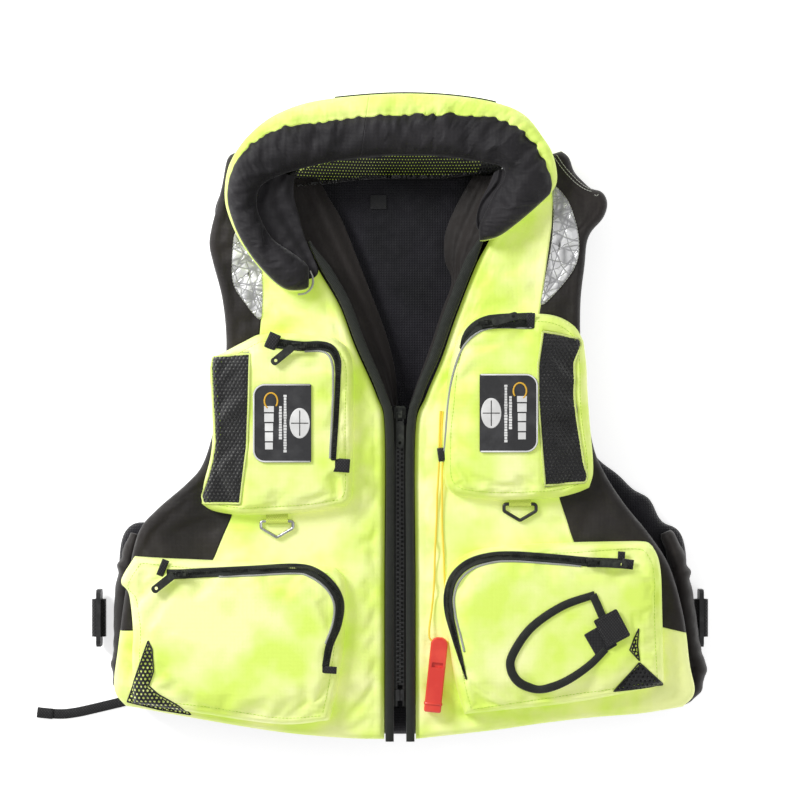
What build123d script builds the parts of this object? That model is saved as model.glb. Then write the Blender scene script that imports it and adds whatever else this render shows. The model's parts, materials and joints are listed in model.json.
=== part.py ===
from build123d import *

import math
import os

# Foam-filled fishing buoyancy vest, lying on its back with the main zip shut. Millimetres.
# +Z is up out of the vest's front, +Y runs from the hem to the collar, +X is the wearer's left.
# The origin is on the floor under the middle of the vest. "out" is the distance sideways from
# the main zip's centre line, the same way on both sides.

RIGHT = -1
LEFT = 1
SIDES = {"right": RIGHT, "left": LEFT}

# Overall size and levels
HALF_WIDTH = 308.0
BACK_TOP = 28.0
FRONT_BOTTOM = 46.0
FRONT_TOP = 72.0
CHEST_TOP = 96.0
CARGO_TOP = 98.0
COLLAR_TOP = 100.0
SKIN = 1.6
GAP = 0.4

# Line that each front panel swings about, from the hem to the shoulder, at the front's inner face
AXIS_HEM = (304.0, -300.0)
AXIS_SHOULDER = (208.0, 220.0)
SEAM_ALONG = 157.0
SWING_MARGIN = 2.0

# Main zip
TOOTH_REACH = 4.0
TOOTH_LAP = 1.3
TOOTH_PITCH = 4.4
TOOTH_WIDTH = 1.9
TEETH_TOP_Y = -7.0
TEETH_END_Y = -270.0
CHAIN_BOTTOM = 56.2
CHAIN_TOP = 61.2
TAPE_BOTTOM = 58.2
TAPE_THICK = 1.0
BINDING_IN = 6.4
BINDING_OUT = 14.6
PANEL_EDGE = 15.0
HEM_CENTRE_Y = -325.0

# Neck: where each front's edge bends and where it meets the shoulder seam, as (out, y)
NECK_LOW = {"right": (15.0, 10.0), "left": (15.0, 18.0)}
NECK_MID = {"right": (45.0, 78.0), "left": (40.0, 98.0)}
NECK_TOP_OUT = {"right": 96.0, "left": 82.0}
FACING_WIDTH = 28.0

# Collar: a horseshoe pillow on a half ellipse, with straight legs down to its tips
COLLAR_X = -5.0
COLLAR_Y = 215.0
COLLAR_OUTER = (168.0, 110.0)
COLLAR_SEAM = (146.0, 86.0)
COLLAR_INNER = (106.0, 46.0)
COLLAR_MESH = (104.0, 25.0)
COLLAR_TIP_Y = {"right": 124.0, "left": 146.0}
COLLAR_LEG_TAPER = 16.0
COLLAR_OVER_FRONT = 73.4
COLLAR_SKIN = 4.0
BACK_TOP_Y = 257.0

# Chest pockets: inner edge, seam with the mesh pouch, outer edge, top and bottom
CHEST = {
    "right": {"inner": 46.0, "seam": 149.0, "outer": 194.0, "top": 80.0, "bottom": -98.0},
    "left": {"inner": 45.0, "seam": 140.0, "outer": 191.0, "top": 101.0, "bottom": -79.0},
}
MESH_HEIGHT = 18.0
POCKET_RADIUS = 12.0
POCKET_CHAMFER = 5.0
LABEL_SIZE = (58.0, 78.0)
LABEL_THICK = 2.0
LABEL_TOP = {"right": 34.0, "left": 44.0}

# Cargo pockets: inner edge at the top and at the hem, outer edge likewise, top and bottom
CARGO = {
    "right": {"inner": (58.0, 68.0), "outer": (261.0, 277.0), "top": -140.0, "bottom": -304.0},
    "left": {"inner": (51.0, 64.0), "outer": (256.0, 268.0), "top": -128.0, "bottom": -300.0},
}
HEM_RISE = 22.0

# Coil zips on the pockets
ZIP_WIDTH = 7.0
ZIP_THICK = 1.6
ZIP_TAB = (18.0, 16.0, 3.0)

# Slider and pull, in the slider's own frame: it travels along X and the pull turns about Y
SLIDER_LENGTH = 11.0
SLIDER_WIDTH = 9.0
BASE_THICK = 2.0
BRIDGE_HEIGHT = 6.0
BRIDGE_WIDTH = 3.4
BRIDGE_POST = 1.6
PULL_AXIS_HEIGHT = 3.5
PULL_BAR_RADIUS = 1.1
PULL_ARM = 1.4
PULL_ARM_OFFSET = 3.2
PULL_NECK = 8.0
PULL_LENGTH = 35.0
PULL_WIDTH = 8.0
PULL_THICK = 2.2

# D-rings on 25 mm webbing
RING_WIRE = 1.75
RING_WIDTH = 35.5
RING_SIDE = 7.0
RING_DROP = 16.5
RING_CLEARANCE = 0.1
RING_HEIGHT = 3.6
LOOP_WIDTH = 22.0
LOOP_LENGTH = 9.0

# Whistle and its cord, which hangs from a webbing tab on the left chest pocket's inner wall
WHISTLE_TOP = (40.0, -219.0)
WHISTLE_LENGTH = 75.0
WHISTLE_WIDTH = 17.0
WHISTLE_THICK = 11.0
WHISTLE_SHOULDER = 7.5
WHISTLE_TILT = 6.0
WHISTLE_EYE = (4.5, 1.7)
CORD_DIAMETER = 2.0
CORD_TAB = {"out": (37.5, 46.6), "y": (-43.6, -29.0), "level": (78.0, 84.0)}

# Free webbing strap that lies on the floor at the wearer's right hem
STRAP_WIDTH = 10.0
STRAP_THICK = 1.6
STRAP_POINTS = [(-287.0, -292.0), (-312.0, -298.0), (-334.0, -303.0), (-352.0, -304.5), (-372.0, -302.0)]

# Side adjusters
BUCKLE_LENGTH = 58.0
BUCKLE_HEIGHT = 24.0
BUCKLE_THICK = 4.5
BUCKLE_OUT = 298.4
# How far the side adjusters are drawn out
SIDE_SLACK = 6.0
WEBBING = 38.0
WEBBING_THICK = 2.2
SIDE_Y = -204.0


def axis_direction():
    """Unit vector along the swing axis, as (out, y)."""
    run = AXIS_SHOULDER[0] - AXIS_HEM[0]
    rise = AXIS_SHOULDER[1] - AXIS_HEM[1]
    length = math.hypot(run, rise)
    return run / length, rise / length


def axis_out(y):
    """How far out the swing axis is at a height y."""
    share = (y - AXIS_HEM[1]) / (AXIS_SHOULDER[1] - AXIS_HEM[1])
    return AXIS_HEM[0] + share * (AXIS_SHOULDER[0] - AXIS_HEM[0])


def seam_y(out, along=SEAM_ALONG):
    """Height of the shoulder seam, which is square to the swing axis."""
    direction = axis_direction()
    return (along - direction[0] * out) / direction[1]


def seam_plane(side, along):
    """Upright plane square to the swing axis, facing the shoulder."""
    direction = axis_direction()
    normal = (side * direction[0], direction[1], 0)
    return Plane(origin=(0, seam_y(0, along), 0), z_dir=normal)


def outline(corners):
    """Closed flat face from rows of (x, y, corner radius)."""
    points = [(x, y) for x, y, radius in corners]
    radii = [radius for x, y, radius in corners]
    return make_face(FilletPolyline(*points, radius=radii, close=True))


def sided(side, corners):
    """The same rows given as (out, y, corner radius), put on one side of the vest."""
    return outline([(side * out, y, radius) for out, y, radius in corners])


def slab(face, bottom, top):
    """Flat face raised into a plate between two levels."""
    return Pos(0, 0, bottom) * extrude(face, amount=top - bottom, dir=(0, 0, 1))


def block(x, y, z):
    """Box from three (low, high) pairs."""
    size = [high - low for low, high in (x, y, z)]
    middle = [(high + low) / 2 for low, high in (x, y, z)]
    return Pos(*middle) * Box(*size)


def side_block(side, out, y, z):
    """Box given by how far out it runs, on one side of the vest."""
    return block(tuple(sorted((side * out[0], side * out[1]))), y, z)


def chamfer_top(solid, size):
    """Breaks the edges round a plate's top face."""
    return chamfer(solid.faces().sort_by(Axis.Z)[-1].edges(), size)


def path_radii(points):
    """Fillet radius at each inner corner, as large as its two runs allow."""
    radii = []
    for before, corner, after in zip(points, points[1:], points[2:]):
        arriving = Vector(*corner) - Vector(*before)
        leaving = Vector(*after) - Vector(*corner)
        turn = math.radians(arriving.get_angle(leaving))
        shorter = min(arriving.length, leaving.length)
        radii.append(0.45 * shorter / math.tan(turn / 2))
    return radii


def ribbon(points, radii, width, thick):
    """Flat band of rectangular section along a level path; the points are its centre line."""
    path = FilletPolyline(*points, radius=radii)
    section = Plane(origin=path @ 0, x_dir=(0, 0, 1), z_dir=path % 0) * Rectangle(thick, width)
    return sweep(section, path=path)


def save(node, part):
    """Writes one named sub-part."""
    part.label = node
    export_step(part, "parts/" + node + ".step")


# ---- Back: cover, foam and lining -------------------------------------------------------------


def back_outline(inset=0.0):
    """Whole back panel, from the hem round the armholes to the neck."""
    half = [
        (285.0, -288.0, 14.0),
        (265.0, -118.0, 16.0),
        (208.0, -64.0, 60.0),
        (181.0, 30.0, 150.0),
        (190.0, 186.0, 40.0),
        (204.0, 212.0, 14.0),
        (165.0, BACK_TOP_Y, 20.0),
    ]
    mirrored = [(-x, y, radius) for x, y, radius in reversed(half)]
    face = outline(half + mirrored + [(0.0, HEM_CENTRE_Y, 600.0)])
    return offset(face, amount=-inset) if inset else face


def back_cover():
    """Cloth tray: the outer skin with its side walls."""
    tray = slab(back_outline(), 0, BACK_TOP - SKIN - GAP)
    return tray - slab(back_outline(SKIN), SKIN, BACK_TOP)


def back_foam():
    """One buoyancy slab inside the cover."""
    return slab(back_outline(SKIN + GAP), SKIN + GAP, BACK_TOP - SKIN - 2 * GAP)


def back_lining():
    """Inner cloth, sewn over the tray's rim."""
    return slab(back_outline(), BACK_TOP - SKIN, BACK_TOP)


def neck_label():
    """Small sewn size label below the collar mesh."""
    return block((-30, -14), (212, 226), (BACK_TOP + GAP, BACK_TOP + GAP + 0.8))


# ---- Shoulders, collar ------------------------------------------------------------------------


def shoulder_yoke(name, side):
    """Padded shoulder: it lies over the neck gap and folds down onto the back at its top."""
    inner = NECK_TOP_OUT[name]
    low = SEAM_ALONG + GAP
    corners = [
        (inner, seam_y(inner, low), 4.0),
        (191.0, seam_y(191.0, low), 4.0),
        (204.0, 212.0, 12.0),
        (190.0, 232.0, 30.0),
        (166.0, 256.0, 14.0),
        (122.0, 256.0, 6.0),
        (112.0, 226.0, 20.0),
    ]
    face = sided(side, corners)
    strap = slab(face, FRONT_BOTTOM, FRONT_TOP)
    fold = slab(face, BACK_TOP + GAP, FRONT_TOP) & block((-400, 400), (206, 300), (0, FRONT_TOP))
    return strap + fold


def arch(size, tip_y, inset=0.0):
    """Half ellipse on straight legs that close in a little towards the collar's tips."""
    wide = size[0] + inset
    tall = size[1] + inset
    leg = COLLAR_Y - tip_y
    narrow = wide - COLLAR_LEG_TAPER
    legs = [(wide, 0), (narrow, -leg), (-narrow, -leg), (-wide, 0)]
    return Pos(COLLAR_X, COLLAR_Y) * (Ellipse(wide, tall) + make_face(Polyline(*legs, close=True)))


def collar_band(outer, inner, inset, bottom_over, bottom_behind, top):
    """Part of the horseshoe between two outlines, deeper behind the back panel's edge."""
    cut_y = 60.0
    if outer is COLLAR_OUTER:
        face = Pos(COLLAR_X, COLLAR_Y) * Ellipse(outer[0] - inset, outer[1] - inset)
    else:
        face = arch(outer, cut_y, -inset)
    ring = face - arch(inner, cut_y, inset)
    over = slab(ring, bottom_over, top)
    behind_only = block((-400, 400), (BACK_TOP_Y + 2 * GAP + inset, 400), (0, 200))
    behind = slab(ring, bottom_behind, top) & behind_only
    return over + behind


def above_seam(solid):
    """Keeps what is on the back's side of both shoulder seams."""
    kept = split(solid, bisect_by=seam_plane(RIGHT, SEAM_ALONG + GAP), keep=Keep.TOP)
    return split(kept, bisect_by=seam_plane(LEFT, SEAM_ALONG + GAP), keep=Keep.TOP)


def collar_cavity(extra):
    """Space for the collar's foam, on the back's side of the seams."""
    inset = COLLAR_SKIN + extra
    band = collar_band(
        COLLAR_OUTER, COLLAR_INNER, inset, COLLAR_OVER_FRONT + inset, 2 + inset, COLLAR_TOP - inset
    )
    return above_seam(band) & block((-400, 400), (190 + extra, 400), (0, 200))


def collar_rim():
    """Bright outer skin of the collar."""
    band = collar_band(COLLAR_OUTER, COLLAR_SEAM, 0, COLLAR_OVER_FRONT, 2, COLLAR_TOP)
    return above_seam(band) - collar_cavity(0)


def collar_roll():
    """Dark inner skin of the collar, gathered onto the rim."""
    seam = (COLLAR_SEAM[0] - GAP, COLLAR_SEAM[1] - GAP)
    band = collar_band(seam, COLLAR_INNER, 0, COLLAR_OVER_FRONT, 2, COLLAR_TOP)
    return above_seam(band) - collar_cavity(0)


def collar_foam():
    """Foam pillow inside the collar's two skins."""
    return collar_cavity(GAP)


def collar_mesh():
    """Crescent of spacer mesh inside the back of the neck."""
    crescent = Pos(COLLAR_X, COLLAR_Y) * (
        Ellipse(COLLAR_INNER[0] - 1, COLLAR_INNER[1] - 1) - Ellipse(*COLLAR_MESH)
    )
    high = slab(crescent, BACK_TOP + GAP, BACK_TOP + 5)
    return high & block((-400, 400), (229, BACK_TOP_Y - 0.5), (0, 100))


def collar_wing(name, side):
    """End of the collar that is sewn to the front panel."""
    ring = Pos(COLLAR_X, COLLAR_Y) * Ellipse(*COLLAR_OUTER) - arch(COLLAR_INNER, 60.0)
    wing = slab(ring, COLLAR_OVER_FRONT, COLLAR_TOP)
    half = side_block(side, (20, 300), (COLLAR_TIP_Y[name], 300), (0, 200))
    return split(wing & half, bisect_by=seam_plane(side, SEAM_ALONG - GAP), keep=Keep.BOTTOM)


# ---- Front panels -----------------------------------------------------------------------------


def front_corners(name):
    """Front panel's outline, from the zip's foot round to the neck."""
    high = SEAM_ALONG - GAP
    side_low = axis_out(-288.0) - SWING_MARGIN
    side_high = axis_out(-114.0) - SWING_MARGIN
    neck_top = NECK_TOP_OUT[name]
    low = NECK_LOW[name]
    mid = NECK_MID[name]
    return [
        (PANEL_EDGE, HEM_CENTRE_Y + 1, 2.0),
        (160.0, -312.0, 300.0),
        (side_low, -288.0, 12.0),
        (side_high, -114.0, 12.0),
        (212.0, -66.0, 50.0),
        (180.0, 40.0, 150.0),
        (191.0, seam_y(191.0, high), 4.0),
        (neck_top, seam_y(neck_top, high), 4.0),
        (mid[0], mid[1], 60.0),
        (low[0], low[1], 20.0),
    ]


def front_face(name, side, inset=0.0):
    face = sided(side, front_corners(name))
    return offset(face, amount=-inset) if inset else face


def front_cover(name, side):
    """Bright outer cloth with its side walls, open towards the wearer."""
    tray = slab(front_face(name, side), FRONT_BOTTOM + SKIN + GAP, FRONT_TOP)
    return tray - slab(front_face(name, side, SKIN), FRONT_BOTTOM, FRONT_TOP - SKIN)


def front_foam(name, side):
    low = FRONT_BOTTOM + SKIN + GAP
    return slab(front_face(name, side, SKIN + GAP), low, FRONT_TOP - SKIN - GAP)


def front_lining(name, side):
    return slab(front_face(name, side), FRONT_BOTTOM, FRONT_BOTTOM + SKIN)


def neck_facing(name, side):
    """Dark band inside the neck edge."""
    neck_top = NECK_TOP_OUT[name]
    low = NECK_LOW[name]
    mid = NECK_MID[name]
    edge = 1.0
    reach = FACING_WIDTH
    corners = [
        (low[0] - edge, low[1] + 12, 0.0),
        (mid[0] - edge - 1, mid[1] + 4, 60.0),
        (neck_top - edge - 2, seam_y(neck_top, SEAM_ALONG - GAP) - 1, 0.0),
        (neck_top - reach, seam_y(neck_top - reach, SEAM_ALONG - GAP) - 1, 6.0),
        (mid[0] - reach, mid[1] + 8, 60.0),
        (1.5, low[1] + 30, 0.0),
        (1.5, low[1] + 12, 0.0),
    ]
    return slab(sided(side, corners), FRONT_BOTTOM, FRONT_BOTTOM + 3)


def front_binding(name, side):
    """Dark tape folded over the zip edge and the neck edge."""
    low = NECK_LOW[name]
    mid = NECK_MID[name]
    neck_top = NECK_TOP_OUT[name]
    width = BINDING_OUT - BINDING_IN
    top_y = seam_y(neck_top, SEAM_ALONG - GAP) - 4
    corners = [
        (BINDING_IN, HEM_CENTRE_Y + 1, 0.0),
        (BINDING_OUT, HEM_CENTRE_Y + 1, 0.0),
        (BINDING_OUT, low[1], 20.0),
        (mid[0] - 0.8, mid[1] + 0.5, 60.0),
        (neck_top - 2.5, top_y, 0.0),
        (neck_top - 2.5 - width, top_y, 0.0),
        (mid[0] - width - 0.8, mid[1] + 3.5, 60.0),
        (BINDING_IN, low[1] + 1, 20.0),
    ]
    return slab(sided(side, corners), TAPE_BOTTOM + TAPE_THICK + GAP, FRONT_TOP + 1.2)


def zip_half(name, side):
    """Tape and moulded teeth of one side; the rows mesh by half a pitch."""
    top_y = TEETH_TOP_Y
    if side is RIGHT:
        top_y = 12.0
    tape_out = (TOOTH_REACH - 1.5, BINDING_OUT)
    level = (TAPE_BOTTOM, TAPE_BOTTOM + TAPE_THICK)
    half = side_block(side, tape_out, (HEM_CENTRE_Y + 35, top_y), level)
    shift = 0.0 if side is RIGHT else TOOTH_PITCH / 2
    count = int((TEETH_TOP_Y - TEETH_END_Y) / TOOTH_PITCH)
    teeth = []
    for index in range(count):
        y = TEETH_TOP_Y - 2 - shift - index * TOOTH_PITCH
        reach = (-TOOTH_LAP, TOOTH_REACH)
        teeth.append(side_block(side, reach, (y - TOOTH_WIDTH, y), (CHAIN_BOTTOM, CHAIN_TOP)))
    foot = (TEETH_END_Y - 14, TEETH_END_Y - 3)
    if side is RIGHT:
        teeth.append(side_block(side, (GAP, 6.0), foot, (CHAIN_BOTTOM - 1, CHAIN_TOP + 1)))
    else:
        teeth.append(side_block(side, (GAP, TOOTH_REACH), foot, (CHAIN_BOTTOM, CHAIN_TOP)))
    return half + teeth


def reflector(name, side):
    """Crinkled silver patch on the front of the shoulder."""
    rows = {
        "right": [(130, 176, 4), (169, 183, 6), (169, 138, 20), (139, 100, 5), (128, 108, 5)],
        "left": [(136, 178, 4), (175, 185, 6), (178, 162, 20), (142, 113, 5), (132, 122, 5)],
    }
    return slab(sided(side, rows[name]), FRONT_TOP + 0.2, FRONT_TOP + 1.0)


# ---- Pockets ----------------------------------------------------------------------------------


def chest_pocket(name, side):
    """Zipped chest pocket, shut and empty, on the front panel."""
    size = CHEST[name]
    corners = [
        (size["inner"], size["top"], POCKET_RADIUS),
        (size["seam"], size["top"] - 4, 4.0),
        (size["seam"] + 3, size["bottom"], 4.0),
        (size["inner"] + 3, size["bottom"], POCKET_RADIUS),
    ]
    body = slab(sided(side, corners), FRONT_TOP + 0.2, CHEST_TOP)
    return chamfer_top(body, POCKET_CHAMFER / 2)


def chest_mesh(name, side):
    """Open-topped mesh pouch on the outer side of the chest pocket."""
    size = CHEST[name]
    corners = [
        (size["seam"] + GAP, size["top"] - 14, 2.0),
        (size["outer"] - 4, size["top"] - 16, 8.0),
        (size["outer"], size["top"] - 80, 60.0),
        (size["outer"] + 4, size["bottom"] + 14, 8.0),
        (size["seam"] + 3 + 2 * GAP, size["bottom"] + 4, 2.0),
    ]
    return slab(sided(side, corners), FRONT_TOP + 1.6, FRONT_TOP + MESH_HEIGHT)


def chest_label(name, side):
    """Moulded badge with its outer corners rounded."""
    size = CHEST[name]
    top = LABEL_TOP[name]
    outer = size["seam"] - 3
    corners = [
        (outer - LABEL_SIZE[0], top, 2.0),
        (outer, top, 12.0),
        (outer, top - LABEL_SIZE[1], 12.0),
        (outer - LABEL_SIZE[0], top - LABEL_SIZE[1], 2.0),
    ]
    return slab(sided(side, corners), CHEST_TOP + 0.2, CHEST_TOP + 0.2 + LABEL_THICK)


def cargo_corners(name):
    size = CARGO[name]
    inner = size["inner"]
    outer = size["outer"]
    middle = (inner[1] + outer[1]) / 2
    return [
        (inner[0], size["top"] - 12, 26.0),
        (inner[0] + 70, size["top"] - 2, 60.0),
        (outer[0], size["top"], 16.0),
        (outer[1], size["bottom"] + HEM_RISE, 8.0),
        (middle, size["bottom"] + 6, 200.0),
        (inner[1], size["bottom"] - 6, 8.0),
    ]


def cargo_patch(name, inset):
    """Drain mesh let into the pocket's lower outer corner, as rows for an outline."""
    outer = CARGO[name]["outer"][1]
    bottom = CARGO[name]["bottom"] + HEM_RISE
    return [
        (outer - 7 - inset, bottom + 6 + inset, 3.0),
        (outer - 24, bottom + 58 - 2 * inset, 3.0),
        (outer - 62 + 2 * inset, bottom + inset, 3.0),
    ]


def cargo_pocket(name, side):
    """Zipped cargo pocket, shut and empty, down to the hem."""
    body = slab(sided(side, cargo_corners(name)), FRONT_TOP + 0.2, CARGO_TOP)
    body = chamfer_top(body, POCKET_CHAMFER / 2)
    return body - slab(sided(side, cargo_patch(name, 0)), CARGO_TOP - 4, CARGO_TOP + 1)


def mesh_panels(name, side):
    """The chest pocket's mesh pouch and the cargo pocket's drain patch."""
    patch = slab(sided(side, cargo_patch(name, GAP)), CARGO_TOP - 3.7, CARGO_TOP - 1.0)
    return Compound(children=[chest_mesh(name, side), patch])


# ---- Pocket zips: each is a run along the top, a corner, and a run down the inner side ---------

CHEST_ZIP = {
    "right": {"start": (119.0, 72.0), "corner": (63.0, 70.0), "end": (63.0, -38.0)},
    "left": {"start": (131.0, 97.5), "corner": (57.0, 93.0), "end": (56.0, -27.0)},
}
CARGO_ZIP = {
    "right": {"start": (228.0, -155.0), "corner": (70.0, -152.0), "end": (76.0, -246.0)},
    "left": {"start": (218.0, -144.0), "corner": (62.0, -140.0), "end": (72.0, -258.0)},
}
CORNER_RADIUS = {"chest": 14.0, "cargo": 32.0}


def pocket_zip(side, route, radius, surface):
    """Coil zip with a cloth tab sewn over each end, as separate solids."""
    points = [route["start"], route["corner"], route["end"]]
    placed = [(side * out, y, surface + 0.2 + ZIP_THICK / 2) for out, y in points]
    run = ribbon(placed, [radius], ZIP_WIDTH, ZIP_THICK)
    solids = [run]
    ends = (("start", (1, 0)), ("end", (0, -1)))
    for key, away in ends:
        out, y = route[key]
        middle_out = out + away[0] * (ZIP_TAB[0] / 2 + GAP)
        middle_y = y + away[1] * (ZIP_TAB[1] / 2 + GAP)
        half = (ZIP_TAB[0] / 2, ZIP_TAB[1] / 2)
        reach = (middle_out - half[0], middle_out + half[0])
        span = (middle_y - half[1], middle_y + half[1])
        level = (surface + 0.2, surface + 0.2 + ZIP_TAB[2])
        solids.append(side_block(side, reach, span, level))
    return solids


def pocket_zips(name, side):
    chest = pocket_zip(side, CHEST_ZIP[name], CORNER_RADIUS["chest"], CHEST_TOP)
    cargo = pocket_zip(side, CARGO_ZIP[name], CORNER_RADIUS["cargo"], CARGO_TOP)
    solids = chest + cargo
    if side is LEFT:
        solids.append(block(CORD_TAB["out"], CORD_TAB["y"], CORD_TAB["level"]))
    return Compound(children=solids)


# ---- Sliders and pulls ------------------------------------------------------------------------


def slider(lips):
    """Slider body with a bridge that holds the pull's bar."""
    base = block(
        (-SLIDER_LENGTH / 2, SLIDER_LENGTH / 2), (-SLIDER_WIDTH / 2, SLIDER_WIDTH / 2), (0, BASE_THICK)
    )
    base = chamfer(base.edges().filter_by(Axis.Z), 1.5)
    outside = BRIDGE_POST + 2.2
    bridge = block((-outside, outside), (-BRIDGE_WIDTH / 2, BRIDGE_WIDTH / 2), (0, BRIDGE_HEIGHT))
    gap = block((-2.2, 2.2), (-BRIDGE_WIDTH, BRIDGE_WIDTH), (BASE_THICK, BRIDGE_HEIGHT - 1.1))
    body = base + (bridge - gap)
    if lips:
        for end in (-1, 1):
            edge = SLIDER_WIDTH / 2
            body += block(
                (-SLIDER_LENGTH / 2 + 2, SLIDER_LENGTH / 2 - 2),
                tuple(sorted((end * (edge - 1.2), end * edge))),
                (-lips, BASE_THICK),
            )
    return body


def pull(skew):
    """Bar through the slider's bridge, two arms, and a grip tab bent sideways by some degrees."""
    bar_length = 2 * PULL_ARM_OFFSET
    solid = Pos(0, 0, PULL_AXIS_HEIGHT) * Rot(90, 0, 0) * Cylinder(PULL_BAR_RADIUS, bar_length)
    low = PULL_AXIS_HEIGHT - PULL_ARM / 2
    for end in (-1, 1):
        near = end * PULL_ARM_OFFSET - PULL_ARM / 2
        along = (-PULL_ARM / 2, PULL_NECK + 1)
        solid += block(along, (near, near + PULL_ARM), (low, low + PULL_ARM))
    tab_length = PULL_LENGTH - PULL_NECK
    tab = Pos(tab_length / 2, 0) * RectangleRounded(tab_length, PULL_WIDTH, PULL_WIDTH / 2 - 0.5)
    hole = Pos(tab_length - 5, 0) * Circle(1.6)
    grip = Pos(PULL_NECK, 0) * Rot(0, 0, skew) * (tab - hole)
    low = PULL_AXIS_HEIGHT - PULL_THICK / 2
    return solid + slab(grip, low, low + PULL_THICK)


# Where each slider stands, as (x, y, level); the way it travels and the way its pull lies, in
# degrees anticlockwise from +X; and how far the pull's grip bends aside
SLIDERS = {
    "main": {"at": (0.0, 5.0, CHAIN_TOP + 0.8), "travel": -90.0, "pull": -90.0, "skew": 0.0},
    "right_chest": {"at": (-98.0, 71.25, CHEST_TOP + 2.1), "travel": 2.0, "pull": 182.0, "skew": 37.0},
    "left_chest": {"at": (83.0, 94.55, CHEST_TOP + 2.1), "travel": 3.5, "pull": 3.5, "skew": 12.0},
    "right_cargo": {"at": (-216.0, -154.75, CARGO_TOP + 2.1), "travel": 1.1, "pull": 181.1, "skew": 37.0},
    "left_cargo": {"at": (190.0, -143.25, CARGO_TOP + 2.1), "travel": 178.5, "pull": -1.5, "skew": -2.0},
}
MAIN_LIP = 1.6


def placed_slider(key):
    data = SLIDERS[key]
    lips = MAIN_LIP if key == "main" else 0
    body = slider(lips)
    if key == "main":
        body = scale(body, by=(1.25, 1.3, 1))
    return Pos(*data["at"]) * Rot(0, 0, data["travel"]) * body


def placed_pull(key):
    data = SLIDERS[key]
    return Pos(*data["at"]) * Rot(0, 0, data["pull"]) * pull(data["skew"])


# ---- D-rings, whistle, flap, strap, side adjusters ---------------------------------------------

RING_BAR = {"right": (123.0, -103.0), "left": (120.0, -86.0)}


def ring_points(name, side):
    """Corners of the ring's wire: a straight bar and a pointed bow."""
    out, y = RING_BAR[name]
    half = RING_WIDTH / 2 - RING_WIRE
    level = FRONT_TOP + RING_HEIGHT
    rows = [(-half, 0), (half, 0), (half, -RING_SIDE), (0, -RING_DROP), (-half, -RING_SIDE)]
    return [(side * out + across, y + along, level) for across, along in rows]


def d_ring(name, side):
    wire = FilletPolyline(*ring_points(name, side), radius=2.5, close=True)
    section = Plane(origin=wire @ 0, z_dir=wire % 0) * Circle(RING_WIRE)
    return sweep(section, path=wire)


def ring_loop(name, side):
    """Folded webbing that holds the ring's bar."""
    out, y = RING_BAR[name]
    reach = (out - LOOP_WIDTH / 2, out + LOOP_WIDTH / 2)
    top = FRONT_TOP + RING_HEIGHT + RING_WIRE + 1.6
    body = side_block(side, reach, (y - 4, y - 4 + LOOP_LENGTH), (FRONT_TOP + 0.2, top))
    bore = Rot(0, 90, 0) * Cylinder(RING_WIRE + RING_CLEARANCE, LOOP_WIDTH + 2)
    return body - Pos(side * out, y, FRONT_TOP + RING_HEIGHT) * bore


def whistle():
    """Flat pealess whistle with round shoulders, an eye across its top and a sound slot."""
    half = WHISTLE_WIDTH / 2
    corners = [
        (half, 0, WHISTLE_SHOULDER),
        (-half, 0, WHISTLE_SHOULDER),
        (-half, -WHISTLE_LENGTH, 2.0),
        (half, -WHISTLE_LENGTH, 2.0),
    ]
    solid = chamfer_top(slab(outline(corners), 0, WHISTLE_THICK), 1.2)
    solid -= block((-half + 3, half - 3), (-30, -25), (WHISTLE_THICK - 3, WHISTLE_THICK + 1))
    bore = Rot(0, 90, 0) * Cylinder(WHISTLE_EYE[1], 2 * WHISTLE_WIDTH)
    solid -= Pos(0, -WHISTLE_EYE[0], WHISTLE_THICK / 2) * bore
    return Pos(WHISTLE_TOP[0], WHISTLE_TOP[1], FRONT_TOP + 1.0) * Rot(0, 0, -WHISTLE_TILT) * solid


# The whistle's cord: down from its tab, across through the whistle's eye, and back up
CORD_LOW = FRONT_TOP + 1.6
CORD_POINTS = [
    (39.0, -44.0, 81.0),
    (38.4, -58.0, 78.0),
    (37.0, -80.0, CORD_LOW + 0.6),
    (36.6, -106.0, CORD_LOW),
    (34.8, -136.0, CORD_LOW),
    (34.4, -164.0, CORD_LOW + 0.2),
    (32.4, -188.0, CORD_LOW + 1.0),
    (29.8, -205.0, CORD_LOW + 3.0),
    (28.9, -214.0, CORD_LOW + 4.4),
    (29.6, -222.4, CORD_LOW + 4.9),
    (39.5, -223.7, CORD_LOW + 4.9),
    (49.4, -224.5, CORD_LOW + 4.9),
    (49.9, -215.6, CORD_LOW + 4.4),
    (49.2, -206.0, CORD_LOW + 3.0),
    (46.4, -188.0, CORD_LOW + 1.0),
    (44.4, -164.0, CORD_LOW + 0.2),
    (43.8, -136.0, CORD_LOW),
    (42.0, -106.0, CORD_LOW),
    (42.3, -80.0, CORD_LOW + 0.6),
    (41.9, -58.0, 78.2),
    (42.6, -44.0, 81.0),
]


def whistle_cord():
    radii = path_radii(CORD_POINTS)
    print("cord radii", [round(radius, 1) for radius in radii])
    path = FilletPolyline(*CORD_POINTS, radius=radii)
    section = Plane(origin=path @ 0, z_dir=path % 0) * Circle(CORD_DIAMETER / 2)
    cord = sweep(section, path=path)
    expected = math.pi * CORD_DIAMETER**2 / 4 * path.length
    print("cord length", round(path.length, 1), "volume share", round(cord.volume / expected, 4))
    return cord


FLAP_POINTS = [
    (198.0, -186.0),
    (191.0, -178.0),
    (160.0, -189.0),
    (131.0, -211.0),
    (113.0, -240.0),
    (117.0, -266.0),
    (142.0, -273.0),
    (168.0, -264.0),
    (188.0, -246.0),
]
FLAP_RADII = [5.0, 60.0, 80.0, 30.0, 14.0, 24.0, 60.0]


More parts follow.
